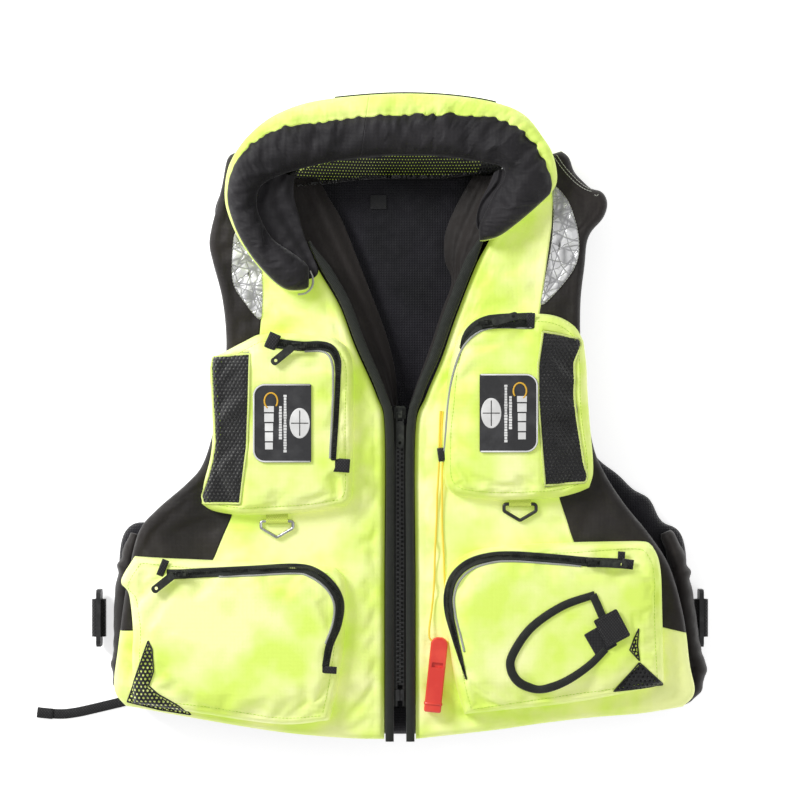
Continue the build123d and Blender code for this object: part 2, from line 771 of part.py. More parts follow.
def flap_binding():
    """Bound teardrop mouth on the left cargo pocket, and the fixed half of its fastener."""
    level = CARGO_TOP + 0.2
    points = [(out, y, level + 1.2) for out, y in FLAP_POINTS]
    band = ribbon(points, FLAP_RADII, 7.0, 2.4)
    patch = block((189, 215), (-236, -205), (level, level + 2.0))
    return Compound(children=[band - patch, patch])


def flap_tab():
    """Hook-and-loop tab that holds the flap; it peels up about its upper edge."""
    tab = Pos(210, -208) * Rot(0, 0, 28) * RectangleRounded(26, 30, 2)
    return slab(tab, CARGO_TOP + 3.0, CARGO_TOP + 5.2)


def free_strap():
    """Flat webbing tail on the floor."""
    points = [(x, y, STRAP_THICK / 2) for x, y in STRAP_POINTS]
    radii = path_radii(points)
    print("strap radii", [round(radius) for radius in radii])
    return ribbon(points, radii, STRAP_WIDTH, STRAP_THICK)


def side_panel(side):
    """Stretch gusset between the back and the front, below the armhole."""
    slack = SIDE_SLACK
    corners = [
        (266.0, -119.0, 4.0),
        (286.0, -117.0, 10.0),
        (292.0 + slack / 2, -160.0, 60.0),
        (293.0 + slack, -240.0, 60.0),
        (300.0 + slack, -286.0, 8.0),
        (286.2, -288.0, 3.0),
    ]
    return slab(sided(side, corners), STRAP_THICK + GAP, 30.0)


def webbing_loop(side):
    """Adjuster webbing that turns back through the buckle's two slots."""
    low = 8.5
    high = 23.5
    slack = SIDE_SLACK
    reach = (293.8 + slack, HALF_WIDTH + slack)
    size = (reach[1] - reach[0], high - low)
    inside = [length - 2 * WEBBING_THICK for length in size]
    ring = RectangleRounded(*size, 5.0) - RectangleRounded(*inside, 5.0 - WEBBING_THICK)
    centre = (side * sum(reach) / 2, SIDE_Y, (low + high) / 2)
    across = Plane(origin=centre, z_dir=(0, 1, 0), x_dir=(1, 0, 0))
    return extrude(across * ring, amount=WEBBING / 2, both=True)


def side_buckle(side):
    """Ladder-lock frame, standing on edge at the vest's side."""
    near = BUCKLE_OUT + SIDE_SLACK
    reach = (near, near + BUCKLE_THICK)
    half = BUCKLE_LENGTH / 2
    low = 4.0
    frame = side_block(side, reach, (SIDE_Y - half, SIDE_Y + half), (low, low + BUCKLE_HEIGHT))
    frame = chamfer(frame.edges().filter_by(Axis.X), 3.0)
    slot_half = WEBBING / 2 + GAP
    for level in (8.1, 20.9):
        through = (near - 1, near + BUCKLE_THICK + 1)
        frame -= side_block(side, through, (SIDE_Y - slot_half, SIDE_Y + slot_half), (level, level + 3.0))
    return frame


def pair(make):
    """The same piece on both sides, as two solids in one node."""
    return Compound(children=[make(side) for side in SIDES.values()])


def main():
    os.makedirs("parts", exist_ok=True)
    save("back_cover", back_cover())
    save("back_foam", back_foam())
    save("back_lining", back_lining())
    save("neck_label", neck_label())
    save("shoulder_yokes", Compound(children=[shoulder_yoke(name, side) for name, side in SIDES.items()]))
    save("collar_rim", collar_rim())
    save("collar_roll", collar_roll())
    save("collar_foam", collar_foam())
    save("collar_mesh", collar_mesh())
    save("side_panels", pair(side_panel))
    save("side_straps", pair(webbing_loop))
    save("side_buckles", pair(side_buckle))
    save("free_strap", free_strap())
    paired = {
        "front_cover": front_cover,
        "front_foam": front_foam,
        "front_lining": front_lining,
        "neck_facing": neck_facing,
        "front_binding": front_binding,
        "zip_half": zip_half,
        "reflector": reflector,
        "collar_wing": collar_wing,
        "chest_pocket": chest_pocket,
        "chest_label": chest_label,
        "cargo_pocket": cargo_pocket,
        "mesh_panels": mesh_panels,
        "pocket_zips": pocket_zips,
        "ring_loop": ring_loop,
        "d_ring": d_ring,
    }
    for name, side in SIDES.items():
        for piece, make in paired.items():
            save(name + "_" + piece, make(name, side))
    for key in SLIDERS:
        save(key + "_slider", placed_slider(key))
        save(key + "_pull", placed_pull(key))
    save("whistle", whistle())
    save("whistle_cord", whistle_cord())
    save("flap_binding", flap_binding())
    save("flap_tab", flap_tab())


main()
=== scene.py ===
import json
import math

import bmesh
import bpy
import numpy as np
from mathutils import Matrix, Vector, noise
from mathutils.bvhtree import BVHTree

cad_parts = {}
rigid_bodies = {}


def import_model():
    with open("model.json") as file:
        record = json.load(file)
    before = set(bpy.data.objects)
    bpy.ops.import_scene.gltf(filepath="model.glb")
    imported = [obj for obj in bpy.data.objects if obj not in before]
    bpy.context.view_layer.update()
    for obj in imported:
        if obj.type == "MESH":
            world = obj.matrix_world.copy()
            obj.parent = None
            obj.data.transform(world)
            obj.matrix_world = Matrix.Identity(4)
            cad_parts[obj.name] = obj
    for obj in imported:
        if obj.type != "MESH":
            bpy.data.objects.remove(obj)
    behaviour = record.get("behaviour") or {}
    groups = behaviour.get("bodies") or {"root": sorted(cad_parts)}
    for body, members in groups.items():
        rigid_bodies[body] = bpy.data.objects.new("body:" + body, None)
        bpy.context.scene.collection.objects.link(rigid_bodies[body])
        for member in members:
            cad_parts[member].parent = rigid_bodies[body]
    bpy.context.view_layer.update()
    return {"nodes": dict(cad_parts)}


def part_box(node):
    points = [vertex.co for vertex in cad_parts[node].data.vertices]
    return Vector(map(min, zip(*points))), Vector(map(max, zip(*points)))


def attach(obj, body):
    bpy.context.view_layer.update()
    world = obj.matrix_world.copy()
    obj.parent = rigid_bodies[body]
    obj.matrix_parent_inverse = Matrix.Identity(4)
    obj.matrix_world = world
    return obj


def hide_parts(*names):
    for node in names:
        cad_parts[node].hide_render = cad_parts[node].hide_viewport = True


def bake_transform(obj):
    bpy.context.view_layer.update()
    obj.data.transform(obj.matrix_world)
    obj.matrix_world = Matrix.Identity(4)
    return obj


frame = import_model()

# Looks of a foam-filled buoyancy vest that lies on its back. Lengths are millimetres until a mesh is
# made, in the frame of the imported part: +X is the wearer's left, +Y runs to the collar, +Z is up.

MM = 0.001
SIDES = {"right": -1, "left": 1}

FRONT_TOP = 72.0
CHEST_TOP = 96.0
CARGO_TOP = 98.0
SEAM_LEVEL = 60.0

# Faces of a block whose lower four corners come first
BLOCK_FACES = ((3, 2, 1, 0), (4, 5, 6, 7), (0, 1, 5, 4), (1, 2, 6, 5), (2, 3, 7, 6), (3, 0, 4, 7))

# Radii of the rounded edges of the padded pieces
FRONT_ROUND = 16.0
FRONT_UNDER_ROUND = 10.0
BACK_ROUND = 16.0
BACK_UNDER_ROUND = 18.0

# Cloth simulation: frames, stiffness and the share of the net swelling that is taken off again
CLOTH_FRAMES = 20
CLOTH_STIFFNESS = 12
CLOTH_BENDING = 0.25
SWELLING_REMOVED = 0.85

# Studio, in metres and watts
CAMERA_HEIGHT = 3.0
VIEW_MIDDLE = 0.018
VIEW_WIDTH = 0.8
IN_FOCUS = 0.075
SENSOR = 36.0
FLOOR_HALF = 6.0
FLOOR_LEVEL = -0.0006
FLOOR_GLOW = 0.62
ROOM_LIGHT = 0.44
LAMPS = [("key", (-1.6, 1.2, 1.5), 0.8, 52.0), ("fill", (1.4, -0.6, 1.8), 1.8, 7.0)]

# Painted glow: light that the bright cloth gives off though it is no lamp, standing in for its fluorescent
# dye and lifting its shaded parts
GLOW = 0.26


# ---- Curves and grids ---------------------------------------------------------------------------


def along(line, shares):
    """Points at given shares of a polyline's length."""
    reach = travelled_along(line)
    wanted = np.asarray(shares) * reach[-1]
    return np.stack([np.interp(wanted, reach, column) for column in line.T], 1)


def curve(points, count=120, closed=False):
    """Even samples of a smooth line through the points."""
    p = np.array(points, float)
    if closed:
        p = np.vstack([p[-1], p, p[0], p[1]])
    else:
        p = np.vstack([2 * p[0] - p[1], p, 2 * p[-1] - p[-2]])
    t = np.linspace(0, 1, 20, endpoint=False)[:, None]
    rows = []
    for a, b, c, d in zip(p, p[1:], p[2:], p[3:]):
        slope = (c - a) * t
        bend = (2 * a - 5 * b + 4 * c - d) * t**2
        twist = (3 * b - a - 3 * c + d) * t**3
        rows.append(b + 0.5 * (slope + bend + twist))
    rows.append(p[-2:-1])
    shares = np.linspace(0, 1, count, endpoint=not closed)
    return along(np.vstack(rows), shares)


def spaced(count, ends=0.6):
    """Shares from 0 to 1 that crowd a little towards both ends."""
    t = np.linspace(0, 1, count)
    return (1 - ends) * t + ends * (0.5 - 0.5 * np.cos(math.pi * t))


def patch(bottom, top, inner, outer, us, vs):
    """Grid of points that fills four edge curves, as rows from bottom to top."""
    low, high = along(bottom, us), along(top, us)
    near, far = along(inner, vs), along(outer, vs)
    u, v = us[None, :, None], vs[:, None, None]
    ruled = (1 - v) * low[None] + v * high[None] + (1 - u) * near[:, None] + u * far[:, None]
    corners = (1 - u) * ((1 - v) * low[0] + v * high[0]) + u * ((1 - v) * low[-1] + v * high[-1])
    return ruled - corners


def distance(points, line, closed=True):
    """Distance from each point to a polyline."""
    start = line if closed else line[:-1]
    run = (np.roll(line, -1, 0) if closed else line[1:]) - start
    offset = points[:, None, :] - start[None]
    share = (offset * run).sum(2) / np.maximum((run**2).sum(1), 1e-9)
    nearest = offset - np.clip(share, 0, 1)[:, :, None] * run
    return np.sqrt((nearest**2).sum(2).min(1))


def unit(rows):
    """Rows scaled to length 1."""
    return rows / np.maximum(np.linalg.norm(rows, axis=-1, keepdims=True), 1e-9)


def travelled_along(line):
    """Distance from a line's start to each of its points."""
    return np.r_[0, np.cumsum(np.linalg.norm(np.diff(line, axis=0), axis=1))]


def inside(points, loop):
    """Which points lie in a closed loop."""
    x, y = points[:, :1], points[:, 1:]
    a, b = loop, np.roll(loop, -1, 0)
    crosses = (a[:, 1] > y) != (b[:, 1] > y)
    rise = np.where(b[:, 1] == a[:, 1], 1e-9, b[:, 1] - a[:, 1])
    at = a[:, 0] + (y - a[:, 1]) * (b[:, 0] - a[:, 0]) / rise
    return (crosses & (x < at)).sum(1) % 2 == 1


def signed(points, loop):
    """Distance to a closed loop, positive inside it."""
    return distance(points, loop) * np.where(inside(points, loop), 1, -1)


def round_edge(gap, radius):
    """Quarter-circle rise from 0 at an edge to 1 at a radius from it."""
    share = np.clip(gap / radius, 0, 1)
    return np.sqrt(1 - (1 - share) ** 2)


def smooth_step(value, low, high):
    """Rises smoothly from 0 to 1 between low and high."""
    share = np.clip((value - low) / (high - low), 0, 1)
    return share * share * (3 - 2 * share)


def ripple(points, size, stretch=1.0, angle=0.0, seed=0.0):
    """Seeded smooth noise from -1 to 1; stretch makes it long in the direction of angle."""
    turn = math.radians(angle)
    u = (points[:, 0] * math.cos(turn) + points[:, 1] * math.sin(turn)) / (size * stretch)
    v = (points[:, 1] * math.cos(turn) - points[:, 0] * math.sin(turn)) / size
    return np.array([noise.noise(Vector((a, b, seed))) for a, b in zip(u, v)])


def folds(points, rows):
    """Ridges and creases, each from one point to another with a height and a half width."""
    total = np.zeros(len(points))
    for x1, y1, x2, y2, height, width in rows:
        line = np.array([(x1, y1), (x2, y2)], float)
        run = line[1] - line[0]
        share = ((points - line[0]) @ run) / (run @ run)
        fade = np.clip(1 - (2 * share - 1) ** 2, 0, 1)
        gap = distance(points, line, closed=False)
        total += height * np.exp(-((gap / width) ** 2)) * fade
    return total


# ---- Meshes -------------------------------------------------------------------------------------


def make(name, points, faces, material, attributes=None, smooth=True):
    """Mesh object from points in millimetres, with each point's place at rest stored on it."""
    mesh = bpy.data.meshes.new(name)
    mesh.from_pydata((np.asarray(points, float) * MM).tolist(), [], [list(f) for f in faces])
    mesh.validate()
    materials = material if isinstance(material, (list, tuple)) else [material]
    for one in materials:
        mesh.materials.append(one)
    rest = mesh.attributes.new("rest", "FLOAT_VECTOR", "POINT")
    rest.data.foreach_set("vector", (np.asarray(points, float) * MM).ravel())
    for key, values in (attributes or {}).items():
        mesh.attributes.new(key, "FLOAT", "POINT").data.foreach_set("value", values)
    mesh.polygons.foreach_set("use_smooth", [smooth] * len(mesh.polygons))
    made = bpy.data.objects.new(name, mesh)
    bpy.context.scene.collection.objects.link(made)
    return made


def grid_faces(rows, columns, wrap=False):
    """Quads of a grid of points; wrap joins the last column to the first."""
    faces = []
    for r in range(rows - 1):
        for c in range(columns if wrap else columns - 1):
            d = (c + 1) % columns
            faces.append((r * columns + c, r * columns + d, (r + 1) * columns + d, (r + 1) * columns + c))
    return faces


def end_faces(rows, count):
    """The two faces that close a wrapped grid at its first and last row."""
    return [tuple(reversed(range(count))), tuple(range((rows - 1) * count, rows * count))]


def shell(name, grid, top, bottom, materials, attributes=None):
    """Closed padded piece: a top and a bottom sheet over one grid, joined round its edge."""
    rows, columns = grid.shape[:2]
    flat = grid.reshape(-1, 2)
    upper = np.c_[flat, top.ravel()]
    edge = np.ones((rows, columns), bool)
    edge[1:-1, 1:-1] = False
    under = np.where(edge.ravel(), np.arange(rows * columns), -1)
    free = np.flatnonzero(~edge.ravel())
    under[free] = rows * columns + np.arange(len(free))
    lower = np.c_[flat[free], bottom.ravel()[free]]
    faces = grid_faces(rows, columns)
    faces += [tuple(int(under[i]) for i in reversed(face)) for face in faces]
    signs = (grid[0, -1] - grid[0, 0])[0] * (grid[-1, 0] - grid[0, 0])[1]
    if signs < 0:
        faces = [tuple(reversed(face)) for face in faces]
    spread = {key: np.r_[values.ravel(), values.ravel()[free]]
              for key, values in (attributes or {}).items()}
    made = make(name, np.vstack([upper, lower]), faces, materials, spread)
    if isinstance(materials, (list, tuple)) and len(materials) > 1:
        half = len(faces) // 2
        made.data.polygons.foreach_set("material_index", [0] * half + [1] * half)
    return made


def points_of(piece):
    """A piece's vertices as rows, in millimetres."""
    out = np.zeros(len(piece.data.vertices) * 3)
    piece.data.vertices.foreach_get("co", out)
    return out.reshape(-1, 3) / MM


def set_points(piece, points):
    """Moves a piece's vertices, and the rest positions kept with them, to these rows."""
    piece.data.vertices.foreach_set("co", (points * MM).ravel())
    piece.data.attributes["rest"].data.foreach_set("vector", (points * MM).ravel())
    piece.data.update()


def simulate(piece, free, pressure=4.0, slack=0.03, cap=7.0, ceiling=None, floor=None):
    """Lets the cloth swell and buckle where it is free, then keeps the result within a cap."""
    before = points_of(piece)
    group = piece.vertex_groups.new(name="pins")
    pins = 1 - np.clip(free, 0, 1)
    for level in np.unique(np.round(pins, 1)):
        which = np.flatnonzero(np.round(pins, 1) == level)
        group.add([int(i) for i in which], float(level), "REPLACE")
    cloth = piece.modifiers.new("cloth", "CLOTH")
    settings = cloth.settings
    settings.quality = 4
    settings.mass = 0.15
    settings.tension_stiffness = CLOTH_STIFFNESS
    settings.compression_stiffness = CLOTH_STIFFNESS
    settings.shear_stiffness = 5
    settings.bending_stiffness = CLOTH_BENDING
    settings.use_pressure = True
    settings.uniform_pressure_force = pressure
    settings.shrink_min = -slack
    settings.vertex_group_mass = "pins"
    settings.effector_weights.gravity = 0
    cloth.point_cache.frame_end = CLOTH_FRAMES
    scene = bpy.context.scene
    for step in range(1, CLOTH_FRAMES + 1):
        scene.frame_set(step)
    shown = piece.evaluated_get(bpy.context.evaluated_depsgraph_get())
    after = np.zeros(len(before) * 3)
    shown.data.vertices.foreach_get("co", after)
    piece.modifiers.remove(cloth)
    piece.vertex_groups.clear()
    scene.frame_set(1)
    move = after.reshape(-1, 3) / MM - before
    move[:, 2] -= SWELLING_REMOVED * np.average(move[:, 2], weights=free + 1e-6)
    length = np.maximum(np.linalg.norm(move, axis=1), 1e-9)
    move *= np.minimum(1, cap / length)[:, None]
    moved = before + move * np.clip(free, 0, 1)[:, None]
    if ceiling is not None:
        moved[:, 2] = np.minimum(moved[:, 2], np.maximum(ceiling, before[:, 2]))
    if floor is not None:
        moved[:, 2] = np.maximum(moved[:, 2], np.minimum(floor, before[:, 2]))
    set_points(piece, moved)


def outward(piece):
    """Turns every face to the outside."""
    shape = bmesh.new()
    shape.from_mesh(piece.data)
    bmesh.ops.recalc_face_normals(shape, faces=shape.faces)
    shape.to_mesh(piece.data)
    shape.free()


def soften(piece):
    """Adds one level of subdivision."""
    subdivision = piece.modifiers.new("soft", "SUBSURF")
    subdivision.levels = 1
    subdivision.render_levels = 1
    return piece


def surface(*pieces):
    """Function that gives the height of the top of some pieces at (x, y)."""
    graph = bpy.context.evaluated_depsgraph_get()
    trees = [BVHTree.FromObject(piece, graph) for piece in pieces]

    def height(x, y, fallback=FRONT_TOP):
        found = [tree.ray_cast(Vector((x * MM, y * MM, 0.2)), Vector((0, 0, -1)))[0] for tree in trees]
        levels = [hit.z / MM for hit in found if hit is not None]
        return max(levels) if levels else fallback

    return height


def drape(line, height, lift=0.0, ease=2):
    """Flat line laid on a surface, eased a little so that it doesn't copy every wrinkle."""
    levels = np.array([height(x, y) for x, y in line])
    for _ in range(ease):
        levels[1:-1] = (levels[:-2] + 2 * levels[1:-1] + levels[2:]) / 4
    return np.c_[line, levels + lift]


def sweep(name, path, section, material, taper=None):
    """Section, as rows of (across, up), carried level along a path; taper scales its width."""
    path, section = np.asarray(path, float), np.asarray(section, float)
    ahead, behind = np.vstack([path[1:], path[-1:]]), np.vstack([path[:1], path[:-1]])
    heading = unit((ahead - behind)[:, :2])
    across = np.c_[heading[:, 1], -heading[:, 0], np.zeros(len(path))]
    wide = np.ones(len(path)) if taper is None else taper
    rows = [
        point + side * share * a + np.array([0, 0, b])
        for point, side, share in zip(path, across, wide)
        for a, b in section
    ]
    count = len(section)
    faces = grid_faces(len(path), count, wrap=True)
    faces += end_faces(len(path), count)
    return make(name, rows, faces, material)


def band_section(width, thick, corner=0.5):
    """Flat tape with eased corners."""
    half, corner = width / 2, min(corner, thick / 2)
    return [
        (-half, corner), (-half + corner, 0), (half - corner, 0), (half, corner),
        (half, thick - corner), (half - corner, thick), (0, thick + 0.15), (-half + corner, thick),
        (-half, thick - corner),
    ]


def round_section(radius, sides=8):
    """Closed section of a round cord."""
    turns = np.linspace(0, 2 * math.pi, sides, endpoint=False)
    return [(radius * math.cos(a), radius * math.sin(a)) for a in turns]


def dashes(name, lines, material, pitch=4.0, length=2.6, radius=0.35):
    """Stitches: short round-ended threads, in a row along each line of points."""
    points, faces = [], []
    ring = np.array(round_section(1.0, 6))
    for line in lines:
        line = np.asarray(line, float)
        total = travelled_along(line)[-1]
        for start in np.arange(pitch / 2, total - length, pitch):
            stops = along(line, [start / total, (start + length) / total])
            run = stops[1] - stops[0]
            heading = unit(run)
            side = unit(np.cross(heading, (0, 0, 1)))
            up = np.cross(side, heading)
            base = len(points)
            for share, size in ((-0.08, 0.45), (0.12, 1.0), (0.88, 1.0), (1.08, 0.45)):
                middle = stops[0] + run * share + up * (0.5 * radius * (size - 1))
                points += [middle + radius * size * (a * side + b * up) for a, b in ring]
            for step in range(3):
                low, high = base + 6 * step, base + 6 * step + 6
                faces += [(low + i, low + (i + 1) % 6, high + (i + 1) % 6, high + i) for i in range(6)]
            faces.append(tuple(reversed(range(base, base + 6))))
            faces.append(tuple(range(base + 18, base + 24)))
    return make(name, points, faces, material)


# ---- Materials ----------------------------------------------------------------------------------


class Look:
    """A material being made. Its pattern follows the cloth at rest, or the part's own place."""

    def __init__(self, name, on_cloth=True, **sockets):
        self.material = bpy.data.materials.new(name)
        self.material.use_nodes = True
        self.tree = self.material.node_tree
        self.shader = self.tree.nodes["Principled BSDF"]
        for key, value in sockets.items():
            self.shader.inputs[key.replace("_", " ")].default_value = value
        if on_cloth:
            self.place = self.add("Attribute", {"attribute_name": "rest"}).outputs["Vector"]
        else:
            self.place = self.add("TexCoord").outputs["Object"]

    def add(self, kind, settings=None, **inputs):
        made = self.tree.nodes.new("ShaderNode" + kind)
        for key, value in (settings or {}).items():
            setattr(made, key, value)
        for key, value in inputs.items():
            name = int(key[1:]) if key[0] == "i" and key[1:].isdigit() else key.replace("_", " ")
            if isinstance(value, bpy.types.NodeSocket):
                self.tree.links.new(value, made.inputs[name])
            else:
                made.inputs[name].default_value = value
        return made

    def math(self, operation, a, b=0.0):
        return self.add("Math", {"operation": operation}, i0=a, i1=b).outputs[0]

    def grain(self, size, detail=2.0):
        """Noise whose blotches are about this many millimetres across."""
        return self.add("TexNoise", Vector=self.place, Scale=1000 / size, Detail=detail).outputs[0]

    def stripes(self, pitch, direction, angle=0.0):
        """Sine ridges with this pitch in millimetres."""
        turned = self.add("Mapping", Vector=self.place, Rotation=(0, 0, math.radians(angle))).outputs[0]
        settings = {"bands_direction": direction}
        return self.add("TexWave", settings, Vector=turned, Scale=314.2 / pitch).outputs["Fac"]

    def weave(self, pitch, angle=0.0):
        across, down = self.stripes(pitch, "X", angle), self.stripes(pitch, "Y", angle)
        return self.math("MULTIPLY", across, down)

    def blend(self, factor, low, high):
        mixed = self.add("Mix", {"data_type": "RGBA"}, Factor=factor)
        for socket, value in ((mixed.inputs[6], low), (mixed.inputs[7], high)):
            if isinstance(value, bpy.types.NodeSocket):
                self.tree.links.new(value, socket)
            else:
                socket.default_value = (*value, 1)
        return mixed.outputs[2]

    def span(self, value, low, high, to_low=0.0, to_high=1.0):
        settings = {"clamp": True}
        sockets = {"From_Min": low, "From_Max": high, "To_Min": to_low, "To_Max": to_high}
        return self.add("MapRange", settings, Value=value, **sockets).outputs[0]

    def colour(self, socket):
        self.tree.links.new(socket, self.shader.inputs["Base Color"])

    def roughness(self, socket):
        self.tree.links.new(socket, self.shader.inputs["Roughness"])

    def bump(self, *layers):
        """Relief from (height, depth in millimetres) pairs, the finest last."""
        normal = None
        for height, depth in layers:
            inputs = {"Height": height, "Distance": depth * MM, "Strength": 1.0}
            if normal is not None:
                inputs["Normal"] = normal
            normal = self.add("Bump", **inputs).outputs[0]
        self.tree.links.new(normal, self.shader.inputs["Normal"])


# Shade pairs of the cloths, low then high, mixed in large blotches. In BRIGHT and PILLOW the low shade is a
# painted shaded green-yellow and the high one a painted lit pale yellow, so their blotches are painted
# light and shade.
BRIGHT = ((0.66, 0.82, 0.16), (0.93, 0.90, 0.52))
PILLOW = ((0.62, 0.80, 0.16), (0.84, 0.90, 0.36))
# Colour of the bright cloth's painted glow
PAINTED_GLOW_COLOUR = (0.74, 1.0, 0.07)
DARK = ((0.008, 0.007, 0.009), (0.018, 0.016, 0.019))
BROWN = ((0.009, 0.0068, 0.006), (0.021, 0.0165, 0.0148))
LINING = ((0.004, 0.004, 0.006), (0.012, 0.011, 0.016))


def cloth_look(name, shades, pitch, other=None, roughness=0.6, sheen=0.2, glow=0.0, depth=0.25,
               crumple=0.5):
    """Woven cloth; where the mask called dark is above 0 it is the other, darker cloth."""
    look = Look(name, Sheen_Weight=sheen, Sheen_Roughness=0.4, Specular_IOR_Level=0.35)
    # Large blotches between a pair's two shades: on the bright cloths these are painted light and shade, on
    # the dark cloths a random tone
    blotch = look.span(look.grain(62.0, 3.0), 0.36, 0.62)
    colour = look.blend(blotch, *shades)
    threads = look.weave(pitch)
    # Painted shade: the hollows between the threads are darkened towards half the low shade
    colour = look.blend(look.span(threads, 0.0, 0.6, 0.12, 0.0), colour, tuple(0.5 * c for c in shades[0]))
    if other:
        mask = look.add("Attribute", {"attribute_name": "dark"}).outputs["Fac"]
        where = look.span(mask, -0.25, 0.25)
        colour = look.blend(where, colour, look.blend(blotch, *other))
        seam = look.span(look.math("ABSOLUTE", mask), 0.0, 1.3)
        layers = [(seam, 0.9)]
    else:
        layers = []
    look.colour(colour)
    look.roughness(look.span(look.grain(9.0), 0.3, 0.7, roughness - 0.08, roughness + 0.08))
    look.bump(*layers, (look.grain(22.0, 3.0), crumple), (threads, depth))
    # Painted glow: emission on the cloth, taken away where it is the darker cloth
    if glow:
        if other:
            look.tree.links.new(
                look.blend(where, PAINTED_GLOW_COLOUR, (0.0, 0.0, 0.0)), look.shader.inputs["Emission Color"]
            )
        else:
            look.shader.inputs["Emission Color"].default_value = (*PAINTED_GLOW_COLOUR, 1)
        look.shader.inputs["Emission Strength"].default_value = glow
    return look.material


def tape_look(name, shades, pitch, on_cloth=True, ribs=True, roughness=0.6):
    """Narrow woven tape or webbing with slanted ribs."""
    look = Look(name, on_cloth, Sheen_Weight=0.25, Specular_IOR_Level=0.35)
    slant = look.stripes(pitch, "X", 40.0)
    back = look.stripes(pitch, "X", -40.0)
    ribbing = look.math("MULTIPLY", slant, back) if ribs else look.weave(pitch)
    # Painted shade and highlight: the colour follows the same ribbing as the relief, the low shade in its
    # hollows and the high shade on its crests
    look.colour(look.blend(look.span(ribbing, 0.1, 0.8), *shades))
    look.roughness(look.span(look.grain(6.0), 0.3, 0.7, roughness - 0.08, roughness + 0.1))
    look.bump((look.grain(12.0), 0.25), (ribbing, 0.35))
    return look.material


def plastic_look(name, shades, roughness=0.35, on_cloth=False, coat=0.0, metal=0.0, size=14.0):
    """Moulded plastic, rubber or metal with fine pitting and rubbed patches."""
    look = Look(name, on_cloth, Coat_Weight=coat, Coat_Roughness=0.15, Metallic=metal)
    wear = look.span(look.grain(size, 4.0), 0.45, 0.7)
    look.colour(look.blend(wear, *shades))
    look.roughness(look.span(look.grain(3.0, 3.0), 0.3, 0.7, roughness, roughness + 0.18))
    look.bump((look.grain(1.2), 0.06), (look.grain(size, 4.0), 0.04))
    return look.material


def silver_look():
    """Reflective film, crossed by many fine creases between small facets."""
    look = Look("silver_film", Metallic=0.35, Specular_IOR_Level=0.6)
    bent = look.add("TexNoise", Vector=look.place, Scale=60.0).outputs["Color"]
    warped = look.add("VectorMath", {"operation": "MULTIPLY_ADD"})
    look.tree.links.new(bent, warped.inputs[0])
    warped.inputs[1].default_value = (0.006, 0.006, 0.0)
    look.tree.links.new(look.place, warped.inputs[2])
    lines = []
    for turn, pitch in ((0.35, 0.0125), (1.3, 0.015), (2.1, 0.0105), (2.75, 0.017)):
        spun = look.add("Mapping", {"vector_type": "TEXTURE"}, Vector=warped.outputs[0])
        spun.inputs["Rotation"].default_value = (0, 0, turn)
        spun.inputs["Scale"].default_value = (pitch, 6 * pitch, 1)
        cells = look.add("TexVoronoi", {"feature": "DISTANCE_TO_EDGE"}, Vector=spun.outputs[0], Scale=1.0)
        lines.append(look.span(cells.outputs["Distance"], 0.0, 0.05))
    crease = lines[0]
    for line in lines[1:]:
        crease = look.math("MULTIPLY", crease, line)
    facets = look.add("TexVoronoi", {"feature": "F1"}, Vector=warped.outputs[0], Scale=120.0)
    tone = look.add("SeparateColor", Color=facets.outputs["Color"]).outputs[0]
    # Painted reflection: facets get random grey tones from 0.60 to 0.90, standing in for facets that
    # reflect the light differently
    facet = look.blend(tone, (0.60, 0.60, 0.61), (0.90, 0.90, 0.91))
    # Painted shade: the crease lines are darkened to 0.34 grey
    look.colour(look.blend(crease, (0.34, 0.34, 0.35), facet))
    look.roughness(look.span(tone, 0.0, 1.0, 0.25, 0.5))
    look.bump((tone, 0.3), (crease, 0.5))
    return look.material


def braid_look():
    """Braided cord with crossing strands."""
    # Painted glow: the cord gives off a little orange-yellow light though it is no lamp
    look = Look("cord_braid", False, Sheen_Weight=0.2, Emission_Strength=0.12)
    look.shader.inputs["Emission Color"].default_value = (1.0, 0.78, 0.05, 1)
    twist = look.stripes(1.6, "Y", 35.0)
    # Painted shade: the colour follows the twist of the strands, darker orange in their grooves
    look.colour(look.blend(look.span(twist, 0.1, 0.8), (0.80, 0.52, 0.03), (1.0, 0.78, 0.10)))
    look.roughness(look.span(look.grain(3.0), 0.3, 0.7, 0.45, 0.65))
    look.bump((twist, 0.3),)
    return look.material


def zip_look():
    """Main zip: woven tape, with moulded teeth near its middle."""
    look = Look("zip_chain", False, Specular_IOR_Level=0.6)
    across = look.add("SeparateXYZ", Vector=look.place).outputs["X"]
    tooth = look.span(look.math("ABSOLUTE", across), 4.2 * MM, 4.4 * MM, 1.0, 0.0)
    threads = look.weave(1.1)
    # Painted shade: the tape's colour follows its weave, darker between the threads
    tape = look.blend(threads, (0.008, 0.008, 0.009), (0.022, 0.022, 0.024))
    moulded = look.blend(look.span(look.grain(4.0), 0.3, 0.7), (0.03, 0.03, 0.032), (0.085, 0.085, 0.09))
    look.colour(look.blend(tooth, tape, moulded))
    look.roughness(look.span(tooth, 0, 1, 0.7, 0.28))
    look.bump((threads, 0.15),)
    return look.material


